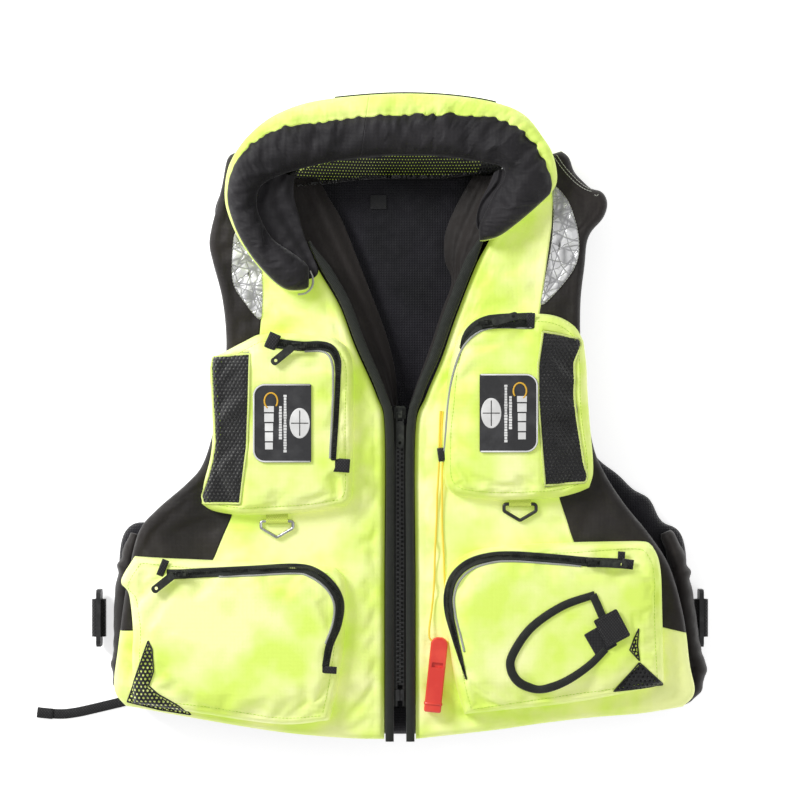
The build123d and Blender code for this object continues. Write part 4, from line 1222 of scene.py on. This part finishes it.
def pocket_zip(name, kind, rows, height, tabs, widths, piping):
    """Zip tape with its coil along a pocket's face, grey piping inside it, and tabs over its ends."""
    side = SIDES[name]
    line = drape(curve(mirrored(name, rows), 150), height, 0.15, ease=8)
    body = name + "_front"
    shares = np.linspace(0, 1, len(line))
    taper = np.interp(shares, *widths)
    section = [(-4.6, 0.2), (4.6, 0.2), (4.7, 1.0), (3.9, 1.5), (2.6, 0.9), (1.9, 0.7), (-1.9, 0.7),
               (-2.6, 0.9), (-3.9, 1.5), (-4.7, 1.0)]
    tape = sweep(f"{name}_{kind}_zip_tape", line, section, LOOKS["tape"], taper=taper)
    lay(tape, line, height)
    ride(tape, body, "zip_coil")
    length = travelled_along(line)[-1]
    points, faces = [], []
    for share in np.arange(1.2, length - 1.2, 1.7) / length:
        here, ahead = along(line, [share, min(1, share + 0.004)])
        heading = unit((ahead - here)[:2])
        across = np.array([heading[1], -heading[0]])
        base = len(points)
        for run, reach, up in ((-0.5, -1.7, 0.9), (0.5, -1.7, 0.9), (0.5, 1.7, 0.9), (-0.5, 1.7, 0.9),
                               (-0.3, -1.3, 1.65), (0.3, -1.3, 1.65), (0.3, 1.3, 1.65), (-0.3, 1.3, 1.65)):
            points.append((*(here[:2] + heading * run + across * reach), here[2] + up))
        faces += [tuple(base + i for i in quad) for quad in BLOCK_FACES]
    ride(make(f"{name}_{kind}_zip_coil", points, faces, LOOKS["slider"], smooth=False), body, "zip_coil")
    piped = drape(curve(mirrored(name, piping), 120), height, 0.4, ease=6)
    ride(sweep(f"{name}_{kind}_piping", piped, round_section(1.15), LOOKS["piping"]), body, "reflective")
    for index, (centre, size, angle) in enumerate(tabs):
        at = np.array(centre, float) * (side, 1)
        level = height(*at) + 0.2
        ride(pad(f"{name}_{kind}_zip_tab_{index}", at, size, side * angle, level, 2.8, LOOKS["webbing"]),
             body, "zip_coil")


def seam_stitches(name, kind, edges, height, inset):
    """Stitching just inside a pocket's outline."""
    loop = pocket_grid(name, edges, spaced(24, 0), spaced(24, 0))[1]
    middle = loop.mean(0)
    ring = loop + (middle - loop) * (inset / np.linalg.norm(middle - loop, axis=1))[:, None]
    ring = drape(ring[::3], height, 0.1)
    piece = dashes(f"{name}_{kind}_stitches", [ring], LOOKS["bright_thread"], 3.6, 2.4, 0.26)
    ride(piece, name + "_front", "bright_cloth")


def badge(name):
    """Plain moulded badge: a raised border, a cross in an oval, rows of blocks and an open ring."""
    side, body, node = SIDES[name], name + "_front", name + "_chest_label"
    paint(node, "badge")
    low, high = (np.array(corner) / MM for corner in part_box(node))
    top = high[2]
    outer = high[0] if side > 0 else low[0]
    inner = low[0] if side > 0 else high[0]
    inset, arc = 0.9, 11.0
    corner = []
    for turn in np.linspace(0, math.pi / 2, 9):
        corner.append((arc * math.sin(turn), arc * math.cos(turn)))
    upper = [(outer - side * (inset + arc - a), high[1] - inset - arc + b) for a, b in corner]
    lower = [(outer - side * (inset + arc - a), low[1] + inset + arc - b) for a, b in reversed(corner)]
    path = [(inner + side * 1.0, high[1] - inset)] + upper + lower + [(inner + side * 1.0, low[1] + inset)]
    path = np.array([(x, y, top - 0.1) for x, y in path])
    ride(sweep(name + "_badge_border", path, band_section(1.5, 0.7, 0.1), LOOKS["print"]), body, "badge")
    centre = np.array([inner + side * 11.5, (low[1] + high[1]) / 2])
    turns = np.linspace(0, 2 * math.pi, 48, endpoint=False)
    rings = [np.c_[centre + np.c_[10.0 * np.cos(turns), 15.0 * np.sin(turns)] * share,
                   np.full(48, top + up)]
             for share, up in ((1.0, -0.1), (1.0, 0.4), (0.95, 0.6), (0.4, 0.65))]
    faces = grid_faces(4, 48, wrap=True) + [tuple(range(144, 192)), tuple(reversed(range(48)))]
    oval = make(name + "_badge_oval", np.vstack(rings), faces, LOOKS["print"], smooth=False)
    outward(oval)
    ride(oval, body, "badge")
    for index, reach in enumerate(((8.5, 0), (0, 12.5))):
        ends = np.array([(*(centre - reach), top + 0.55), (*(centre + reach), top + 0.55)])
        ride(sweep(f"{name}_badge_cross_{index}", ends, band_section(0.9, 0.35, 0.1), LOOKS["ink"]), body,
             "badge")
    blocks, block_faces = [], []
    lots = np.random.default_rng(7)
    for across, start, end, thick in ((26.0, -29, 27, 1.5), (30.6, -16, 17, 1.5), (42.0, -26, 13, 4.6)):
        x, y = inner + side * across, centre[1] + start
        while y < centre[1] + end:
            tall = lots.uniform(1.2, 1.9) * thick
            wide = thick * lots.uniform(0.8, 1.1)
            first = len(blocks)
            for level in (top - 0.1, top + 0.5):
                for a, b in ((-wide, 0), (wide, 0), (wide, tall), (-wide, tall)):
                    blocks.append((x + a, y + b, level))
            block_faces += [tuple(first + i for i in quad) for quad in BLOCK_FACES]
            y += tall + 0.3 * thick
    ride(make(name + "_badge_blocks", blocks, block_faces, LOOKS["print"], smooth=False), body, "badge")
    spot = np.array([inner + side * 40.0, centre[1] + 22.0])
    turns = np.linspace(math.radians(-60), math.radians(220), 30)
    hook = np.c_[spot + np.c_[side * 6.5 * np.cos(turns), 8.0 * np.sin(turns)], np.full(30, top - 0.1)]
    ride(sweep(name + "_badge_mark", hook, band_section(1.6, 0.7, 0.2), LOOKS["mark"]), body, "badge")


CHEST_TABS = {
    "right": [((127, 76), (13, 19), 24), ((58, -47), (18, 15), 4)],
    "left": [((130, 97), (9, 17), -3)],
}
CARGO_TABS = {
    "right": [((236, -149), (8, 19), 22), ((72, -250), (20, 8), 4)],
    "left": [((226, -145), (13, 11), -8), ((220, -138), (8, 12), -3)],
}


def pockets(name):
    """One front's pockets with nets, zips and tapes; gives the cargo pocket's surface."""
    chest = pocket(name, "chest", CHEST_EDGES[name], CHEST_TOP, CHEST_FOLDS[name], [POUCH_MESH[name]],
                   15.0, 20.0 + SIDES[name], [name + "_chest_pocket"])
    drains = [DRAIN[name]] if name == "left" else []
    cargo = pocket(name, "cargo", CARGO_EDGES[name], CARGO_TOP, CARGO_FOLDS[name], drains,
                   17.0, 30.0 + SIDES[name], [name + "_cargo_pocket"])
    chest_face, cargo_face = surface(chest), surface(cargo)
    body = name + "_front"
    pouch = polygon(mirrored(name, POUCH_MESH[name]), 240)
    ride(net(name + "_pouch_net", pouch, chest_face, 4.0, 0.8, 1.1), body, "mesh_cloth",
         name + "_mesh_panels")
    rim = drape(np.vstack([pouch, pouch[:1]]), chest_face, 0.5)
    ride(sweep(name + "_pouch_edge", rim, band_section(2.4, 1.3), LOOKS["bright_edge"]), body,
         "bright_cloth")
    for part, rows in (("", DRAIN[name]), ("_upper", DRAIN_GAP[name])):
        if rows:
            drain = polygon(mirrored(name, rows), 200)
            drain_net = net(name + "_drain_net" + part, drain, cargo_face, 4.4, 0.8, 1.2)
            ride(drain_net, body, "mesh_cloth")
            rim = drape(np.vstack([drain, drain[:1]]), cargo_face, 0.7)
            ride(sweep(name + "_drain_edge" + part, rim, band_section(1.5, 0.9), LOOKS["net"]), body,
                 "mesh_cloth")
    chest_widths = (
        ([0, 0.3, 0.5, 1], [1.05, 1, 0.6, 0.55])
        if name == "right"
        else ([0, 0.5, 0.8, 1], [1.75, 1.5, 0.9, 0.1])
    )
    cargo_widths = (
        ([0, 0.7, 1], [1, 1, 0.75])
        if name == "right"
        else ([0, 0.75, 0.92, 1], [1.0, 0.95, 0.5, 0.1])
    )
    pocket_zip(name, "chest", CHEST_ZIP[name], chest_face, CHEST_TABS[name], chest_widths,
               CHEST_PIPING[name])
    pocket_zip(name, "cargo", CARGO_ZIP[name], cargo_face, CARGO_TABS[name], cargo_widths,
               CARGO_PIPING[name])
    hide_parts(name + "_pocket_zips")
    seam_stitches(name, "chest", CHEST_EDGES[name], chest_face, 9.0)
    seam_stitches(name, "cargo", CARGO_EDGES[name], cargo_face, 10.0)
    badge(name)
    if name == "left":
        tab = pad("whistle_tab", (41.5, -36.5), (8.5, 15), 8, 77.4, 6.0, LOOKS["webbing"])
        ride(tab, body, "webbing")
        ends = curve([(40.2, -30), (40.6, -14), (41.5, 7)], 20)
        for index, shift in enumerate((-1.0, 1.0)):
            end = drape(ends + (shift, 0), chest_face, 1.0, ease=3)
            ride(sweep(f"cord_end_{index}", end, round_section(1.0), LOOKS["braid"]), body, "cord_yellow")
    return cargo_face


# ---- Collar -------------------------------------------------------------------------------------

# The collar seen from above, from the right wing's tip round the back of the neck to the left wing's
COLLAR_RIM = [(-95, 122), (-118, 129), (-138, 147), (-157, 172), (-169, 196), (-175, 220),
              (-172, 248), (-161, 270), (-145, 288), (-124, 303), (-92, 315), (-50, 321), (0, 324),
              (50, 322), (95, 315), (124, 303), (143, 280), (153, 262), (157, 240), (152, 226),
              (136, 210), (116, 193), (98, 180), (84, 174)]
COLLAR_HOLE = [(-88, 138), (-92, 152), (-106, 164), (-126, 178), (-138, 197), (-143, 216),
               (-138, 232), (-118, 243), (-90, 251), (-55, 258), (0, 263), (50, 261), (85, 255),
               (102, 250), (104, 240), (94, 224), (86, 207), (79, 192), (76, 180)]
RIM_WIDTH = ([0.0, 0.1, 0.22, 0.30, 0.37, 0.42, 0.62, 0.70, 0.78, 0.84, 0.875, 1.0],
             [1.2, 1.4, 4, 9, 18, 23, 24, 20, 13, 9, 0.5, 0.5])
COLLAR_CREST = 99.0
COLLAR_EDGE = 79.0
COLLAR_COLUMNS = 420
COLLAR_ROUND = 44


def wave_noise(travelled, length, seed):
    """Smooth noise along a line."""
    return np.array([noise.noise(Vector((d / length, 0.3, seed))) for d in travelled])


def collar_half(name):
    """Half of the horseshoe pillow: bright rim, and dark roll gathered onto it along a seam."""
    shares = np.linspace(0, 1, COLLAR_COLUMNS)
    rim, hole = curve(COLLAR_RIM, COLLAR_COLUMNS), curve(COLLAR_HOLE, COLLAR_COLUMNS)
    end = np.clip(np.minimum(shares, 1 - shares) / 0.035, 0, 1)
    squeeze = np.maximum(np.sqrt(1 - (1 - end) ** 2), 0.04)[:, None]
    middle = (rim + hole) / 2
    rim, hole = middle + (rim - middle) * squeeze, middle + (hole - middle) * squeeze
    half = COLLAR_COLUMNS // 2
    keep = slice(0, half + 1) if name == "right" else slice(half, COLLAR_COLUMNS)
    travelled = travelled_along(rim)[keep]
    rim, hole, shares = rim[keep], hole[keep], shares[keep]
    width = np.linalg.norm(hole - rim, axis=1)
    tip = np.sqrt(1 - (1 - np.clip(np.minimum(shares, 1 - shares) / 0.05, 0.02, 1)) ** 2)
    turns = np.linspace(0, 2 * math.pi, COLLAR_ROUND, endpoint=False)
    base_seam = np.interp(shares, *RIM_WIDTH)
    puffs = (
        np.maximum(wave_noise(travelled, 8.0, 40.0), -0.25) * 5.0
        + 2.0 * wave_noise(travelled, 23.0, 45.0)
    )
    seam = (
        base_seam
        - puffs * smooth_step(base_seam, 2, 12) * (0.5 + 0.5 * smooth_step(np.abs(shares - 0.5), 0.0, 0.14))
    )
    across = (0.5 - 0.5 * np.cos(turns))[None, :]
    plan = rim[:, None] * (1 - across[..., None]) + hole[:, None] * across[..., None]
    upper = (np.sin(turns) > 0)[None, :]
    swell = np.abs(np.sin(turns))[None, :] ** np.where(upper, 0.8, 0.55)
    low = np.where(plan[..., 1] < 257.6, 74.0, 4.0)
    crest = COLLAR_EDGE + (COLLAR_CREST - COLLAR_EDGE) * tip[:, None]
    level = np.where(upper, COLLAR_EDGE + (crest - COLLAR_EDGE) * swell,
                     COLLAR_EDGE - (COLLAR_EDGE - low) * swell)
    dark = np.where(upper, across * width[:, None] - seam[:, None], np.where(across > 0.5, 5.0, -5.0))
    depth = np.maximum(dark, 0)
    flat = plan.reshape(-1, 2)
    slant = travelled[:, None] + 0.7 * depth * np.tanh(14 * (0.5 - shares))[:, None]
    shape = dark.shape
    drawn = np.array([noise.noise(Vector((s / 7.5, d / 40.0, 42.0)))
                      for s, d in zip(slant.ravel(), depth.ravel())])
    wide = np.array([noise.noise(Vector((s / 19.0, d / 60.0, 47.0)))
                     for s, d in zip(slant.ravel(), depth.ravel())])
    strength = (0.35 + 0.65 * smooth_step(base_seam, 4, 12))[:, None]
    gathers = (
        5.0 * drawn.reshape(shape) * np.exp(-depth / 13.0)
        + 5.0 * wide.reshape(shape) * np.exp(-depth / 26.0)
    )
    gathers *= strength * (dark > 0) * upper
    crumple = (
        2.4 * ripple(flat, 26, 1.6, 60, 43.0).reshape(shape)
        + 1.2 * ripple(flat, 11, 1.5, 20, 44.0).reshape(shape)
    )
    pinch = 4.6 * np.exp(-((dark / 4.5) ** 2)) * upper * smooth_step(base_seam, 1, 6)[:, None]
    swelling = smooth_step(swell, 0.2, 0.7) * upper
    level = level + (gathers * smooth_step(swell, 0.1, 0.5) + crumple * swelling - pinch) * tip[:, None]
    level = np.where(upper, np.clip(level, COLLAR_EDGE - 1.0, 104.0), level)
    rows = len(shares)
    faces = grid_faces(rows, COLLAR_ROUND, wrap=True)
    faces += end_faces(rows, COLLAR_ROUND)
    piece = make(name + "_collar", np.c_[flat, level.ravel()], faces, LOOKS["collar"],
                 {"dark": dark.ravel()})
    outward(piece)
    for cap in (-1, -2):
        piece.data.polygons[cap].use_smooth = False
    near_middle = smooth_step(np.abs(np.arange(rows) - (half if name == "right" else 0)), 2, 26)
    free = (swelling * smooth_step(np.abs(dark), 2, 10) * near_middle[:, None] * tip[:, None]).ravel()
    simulate(piece, free, pressure=2.5, slack=0.05, cap=4.0, ceiling=105.0, floor=86.0)
    nodes = [name + "_collar_wing", "collar_rim", "collar_roll", "collar_foam"]
    return bend(piece, name, "collar_cloth", *nodes)


def collar_trim():
    """Dark tape that shows behind the collar, and the pale piping of its right wing."""
    edge = curve(COLLAR_RIM, 400)
    behind = edge[(edge[:, 0] > -66) & (edge[:, 0] < 96) & (edge[:, 1] > 280)] + (0, 0.7)
    line = np.c_[behind, np.full(len(behind), 70.0)]
    ride(sweep("collar_back_tape", line, band_section(2.0, 8.0, 0.3), LOOKS["tape"]), "back",
         "binding_tape")
    tip = curve([(-90, 147), (-87, 139), (-88, 131), (-94, 125), (-102, 123.5)], 40)
    piping = np.c_[tip, np.full(40, 78.6)]
    bend(sweep("right_wing_piping", piping, round_section(1.1), LOOKS["thread"]), "right", "bright_cloth")


NECK_MESH_LOW = [(-121, 229), (-95, 234), (-60, 239), (-30, 242), (0, 243), (40, 243), (72, 246), (98, 248)]
NECK_MESH_HIGH = [(-122, 236), (-100, 249), (-55, 260), (0, 266), (50, 264), (85, 258), (104, 252)]


def neck_mesh():
    """Crescent of spacer mesh inside the back of the neck, over bright cloth."""
    low, high = curve(NECK_MESH_LOW, 90), curve(NECK_MESH_HIGH, 90)
    rows = 12
    share = np.linspace(0, 1, rows)[:, None, None]
    grid = low[None] * (1 - share) + high[None] * share
    rise = 31.0 + 42.0 * np.linspace(0, 1, rows) ** 1.4
    level = rise[:, None] + 1.2 * ripple(grid.reshape(-1, 2), 22, 2, 10, 50.0).reshape(grid.shape[:2])
    shape = grid.shape[:2]
    # Painted shade: the backing is darkened along its lower edge and towards both ends
    ends = np.minimum(np.linspace(0, 150, 90)[None], np.linspace(150, 0, 90)[None])
    mask = np.maximum(3.0 - np.linspace(0, 20, rows)[:, None], 14.0 - ends) * np.ones(shape)
    backing = shell("neck_mesh_backing", grid, level, level - 3.0, LOOKS["bright"], {"dark": mask})
    ride(backing, "back", "bright_cloth")
    loop = np.vstack([low, high[::-1]])
    ride(net("neck_mesh_net", loop, surface(backing), 3.0, 0.7, 1.05), "back", "mesh_cloth", "collar_mesh")


COLLAR_FALL = {
    "right": [(-78, 142), (-87, 162), (-95, 182), (-101, 204), (-106, 224), (-105, 242)],
    "left": [(77, 186), (76, 200), (80, 216), (88, 232), (94, 246)],
}
COLLAR_FALL_TOP = {
    "right": [(-98, 136), (-116, 156), (-134, 172), (-146, 196), (-150, 218), (-132, 248)],
    "left": [(92, 182), (98, 200), (106, 220), (116, 238), (114, 254)],
}


def collar_fall(name):
    """Inner side of the collar, which drops from the roll to the neck with soft folds."""
    low, high = curve(COLLAR_FALL[name], 100), curve(COLLAR_FALL_TOP[name], 100)
    rows = 30
    share = np.linspace(0, 1, rows)[:, None, None]
    grid = low[None] * (1 - share) + high[None] * share
    across = np.linspace(0, 1, rows)[:, None]
    down = np.linspace(0, 1, 100)[None]
    spine = grid.mean(0)[None]
    grid = spine + (grid - spine) * np.maximum(round_edge(down, 0.09), 0.06)[..., None]
    flat = grid.reshape(-1, 2)
    level = 75.5 + 7.0 * across ** 0.8 * np.ones((1, 100))
    level += 1.6 * np.sin(across * 15.0 + 2.2 * np.sin(down * 5.0)) * (1 - 0.5 * across)
    level += (
        2.2 * ripple(flat, 15, 2.2, 65, 60.0) + 1.3 * ripple(flat, 8, 1.8, 30, 61.0)
    ).reshape(level.shape)
    level = np.clip(level, 74.0, 85.0)
    piece = shell(name + "_collar_fall", grid, level, np.full(level.shape, 73.2), LOOKS["dark"])
    outward(piece)
    soften(piece)
    bend(piece, name, "collar_cloth")


# ---- Edges of the front opening -----------------------------------------------------------------

BINDING = {
    "right": [(10.4, -324), (10.4, -170), (10.4, -16), (17.5, 23), (39.5, 75), (54.5, 115),
              (72, 146), (85, 166), (91, 177)],
    "left": [(10.4, -324), (10.4, -170), (10.4, -18), (19, 24), (35.5, 64), (48.5, 102), (70, 156),
             (86, 187)],
}
FACING = {
    "right": {
        "edge": [(11, 6), (30, 48), (46, 80), (62, 116), (82, 150), (99, 180), (108, 210), (111, 240)],
        "end": [(2, 12), (5, 50), (14, 86), (28, 124), (42, 160), (58, 200), (72, 224), (84, 246)],
    },
    "left": {
        "edge": [(12, 4), (24, 34), (36, 62), (50, 102), (64, 138), (74, 160), (88, 186), (100, 216),
                 (108, 244)],
        "end": [(8, 10), (18, 38), (29, 68), (42, 108), (52, 138), (45, 160), (45, 186), (56, 214),
                (74, 246)],
    },
}


def zip_binding(name):
    """Tape folded over the zip edge and the neck edge, with a row of stitches."""
    path = curve(mirrored(name, BINDING[name]), 200)
    wide = np.interp(path[:, 1], [-20, 30, 90], [1.0, 1.05, 1.3 if name == "left" else 1.15])
    wide *= np.interp(np.linspace(0, 1, 200), [0.94, 1.0], [1.0, 0.25])
    level = 65.5 + 0.5 * ripple(path, 26, 1, 0, 70.0)
    section = [(-4.2, 1.5), (-3.6, 0.3), (3.6, 0.3), (4.2, 1.5), (4.2, 5.6), (3.4, 7.0), (0, 7.5),
               (-3.4, 7.0), (-4.2, 5.6)]
    piece = sweep(name + "_zip_binding", np.c_[path, level], section, LOOKS["tape"], taper=wide)
    bend(piece, name, "binding_tape", name + "_front_binding")
    side = SIDES[name]
    line = np.c_[path + (side * 2.6, 0), level + 7.0][4:-6]
    bend(dashes(name + "_binding_stitches", [line], LOOKS["dark_thread"], 3.6, 2.4, 0.3), name,
         "binding_tape")


def neck_facing(name):
    """Dark band inside the neck edge, sloping down to the back's lining in long folds."""
    edge = curve(mirrored(name, FACING[name]["edge"]), 110)
    end = curve(mirrored(name, FACING[name]["end"]), 110)
    columns = 22
    share = np.linspace(0, 1, columns)
    grid = edge[:, None] * (1 - share)[None, :, None] + end[:, None] * share[None, :, None]
    flat = grid.reshape(-1, 2)
    slope = 66.0 - 27.0 * share[None, :] ** 0.8 * np.ones((110, 1))
    waves = 1.6 * np.sin(share * 17.0 + 1.5 * np.linspace(0, 1, 110)[:, None])
    waves = waves * np.minimum(1, 4 * share * (1 - share))[None]
    level = (
        slope
        + waves
        + (1.2 * ripple(flat, 22, 3.0, 65 if name == "left" else 115, 72.0)).reshape(slope.shape)
    )
    level = np.maximum(level, 31.5)
    thick = 2.4
    piece = shell(name + "_neck_band", grid, level, level - thick, LOOKS["brown"])
    soften(piece)
    bend(piece, name, "dark_cloth", name + "_neck_facing")


# ---- Sides, rings, whistle and fastener ---------------------------------------------------------

GUSSET = {
    "right": [(268, -288), (280, -274), (283, -254), (280, -232), (279, -200), (278, -166),
              (274, -140), (268, -118)],
    "left": [(280, -290), (296, -276), (301, -254), (294, -232), (289, -200), (285, -166),
             (280, -140), (270, -116)],
}


def side_gusset(name):
    """Stretch side between the back and the front, pleated along its length."""
    path = curve(mirrored(name, GUSSET[name]), 150)
    turns = np.linspace(0, 2 * math.pi, 28, endpoint=False)
    run = unit(np.gradient(path, axis=0))
    across = np.c_[run[:, 1], -run[:, 0]]
    travelled = travelled_along(path)
    pleats = 2.6 * wave_noise(travelled, 9.0, 80.0) + 1.0 * np.sin(travelled / 3.1)
    pleats *= 0.3 + 0.7 * smooth_step(np.abs(path[:, 1] + 204), 26, 44)
    swell = np.sin(np.linspace(0.12, math.pi - 0.12, 150)) ** 0.35
    points = []
    for at, side, pleat, big in zip(path, across, pleats, swell):
        for turn in turns:
            reach = (11.5 + pleat) * big * math.cos(turn)
            points.append((*(at + side * reach), 29.0 + 22.5 * big * math.sin(turn) + 0.5 * pleat))
    count = len(turns)
    faces = grid_faces(150, count, wrap=True)
    faces += end_faces(len(path), count)
    piece = make(name + "_side_gusset", points, faces, LOOKS["brown"])
    outward(piece)
    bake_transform(piece)
    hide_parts("side_panels")


def ring_strap(name):
    """Bright webbing folded round the ring's bar and sewn under the pocket."""
    low, high = (np.array(corner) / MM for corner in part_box(name + "_ring_loop"))
    middle_y, middle_z = low[1] + 4.0, 75.6
    outer = [(high[1] + 5, 73.0)]
    for turn in np.linspace(math.radians(270), math.radians(90), 10):
        outer.append((middle_y + 3.4 * math.cos(turn), middle_z + 2.9 * math.sin(turn)))
    outer.append((high[1] + 5, 77.4))
    inner = [(high[1] + 5, 76.0)]
    for turn in np.linspace(math.radians(90), math.radians(270), 10):
        inner.append((middle_y + 2.0 * math.cos(turn), middle_z + 2.0 * math.sin(turn)))
    inner.append((high[1] + 5, 74.2))
    profile = outer + inner
    points, stops = [], np.array([0.0, 0.02, 0.35, 0.65, 0.98, 1.0])
    for stop in stops:
        points += [(low[0] + (high[0] - low[0]) * stop, y, z) for y, z in profile]
    count = len(profile)
    faces = grid_faces(len(stops), count, wrap=True)
    faces += end_faces(len(stops), count)
    piece = make(name + "_ring_strap", points, faces, LOOKS["bright_web"], smooth=False)
    ride(piece, name + "_front", "bright_webbing", name + "_ring_loop")


FLAP = [(193, -175), (190, -176), (160, -187), (130, -208), (112, -234), (110, -249), (118, -262),
        (134, -269), (150, -267), (168, -259), (188, -245), (204, -229)]


def flap(height):
    """Bound teardrop mouth with the fixed half of its fastener; its tab is the part's own."""
    line = drape(curve(FLAP, 140), height, 0.2, ease=6)
    wide = np.interp(np.linspace(0, 1, 140), [0, 0.1, 0.6, 1], [0.9, 1.0, 1.1, 0.9])
    section = [(-4, 0.3), (4, 0.3), (4.1, 1.4), (3.2, 2.6), (0, 3.0), (-3.2, 2.6), (-4.1, 1.4)]
    binding = sweep("flap_binding_tape", line, section, LOOKS["tape"], taper=wide)
    ride(binding, "left_front", "binding_tape", "flap_binding")
    leg = drape(curve([(191, -175), (196, -186), (202, -200)], 12), height, 1.0)
    ride(sweep("flap_binding_leg", leg, section, LOOKS["tape"]), "left_front", "binding_tape")
    patch_at = (199, -220)
    patch_level = min(height(*patch_at), 98.2)
    lower = pad("flap_fixed_patch", patch_at, (26, 28), 30, patch_level, 2.3, LOOKS["hook"])
    ride(lower, "left_front", "hook_loop")
    paint("flap_tab", "webbing_part")
    low, high = (np.array(corner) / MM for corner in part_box("flap_tab"))
    mid = (low + high) / 2
    frame_line = np.array([(-10.5, -12.5), (10.5, -12.5), (10.5, 12.5), (-10.5, 12.5), (-10.5, -12.5)])
    turn = math.radians(28)
    spin = np.array([[math.cos(turn), math.sin(turn)], [-math.sin(turn), math.cos(turn)]])
    sewn = np.c_[frame_line @ spin + mid[:2], np.full(5, high[2] + 0.15)]
    ride(dashes("flap_tab_stitches", [sewn], LOOKS["dark_thread"], 2.8, 1.9, 0.28), "flap_tab", "hook_loop")


def whistle_lip():
    """Raised band near the whistle's mouth."""
    turn = math.radians(-6)
    down = np.array([math.sin(turn), -math.cos(turn)])
    across = np.array([math.cos(turn), math.sin(turn)])
    at = np.array([40.0, -219.0]) + down * 66.5
    half, thick, low = 8.5, 11.0, FRONT_TOP + 1.0
    rows = []
    for reach in (-1.2, -0.9, 0.9, 1.2):
        grow = 0.15 if abs(reach) > 1 else 0.7
        for a, b in ((-half - grow, 1.0), (-half - grow, thick - 1), (-half + 1, thick + grow),
                     (half - 1, thick + grow), (half + grow, thick - 1), (half + grow, 1.0)):
            rows.append((*(at + down * reach + across * a), low + b))
    faces = grid_faces(4, 6)
    piece = make("whistle_lip", rows, faces, LOOKS["whistle"])
    ride(piece, "whistle", "whistle_red")


def hardware():
    """Finishes of the parts that keep their CAD shape."""
    for name in SIDES:
        paint(name + "_zip_half", "zip")
    paint("right_d_ring", "steel")
    paint("left_d_ring", "black_ring")
    for key in ("main", "right_chest", "left_chest", "right_cargo", "left_cargo"):
        paint(key + "_slider", "slider")
        paint(key + "_pull", "pull")
    paint("side_buckles", "buckle")
    paint("side_straps", "webbing_part")
    paint("neck_label", "label")


def main():
    """Makes every piece, in the order the random draws depend on."""
    studio()
    whistle_on_cord()
    hem_strap()
    hardware()
    back_panel()
    neck_mesh()
    collar_trim()
    for name in SIDES:
        panel = front_panel(name)
        shoulder = surface(panel)
        silver_patch(name, shoulder)
        if name == "left":
            yoke_stitches(shoulder)
        side_gusset(name)
        neck_facing(name)
        zip_binding(name)
        collar_half(name)
        collar_fall(name)
        cargo_face = pockets(name)
        ring_strap(name)
    flap(cargo_face)
    whistle_lip()


main()
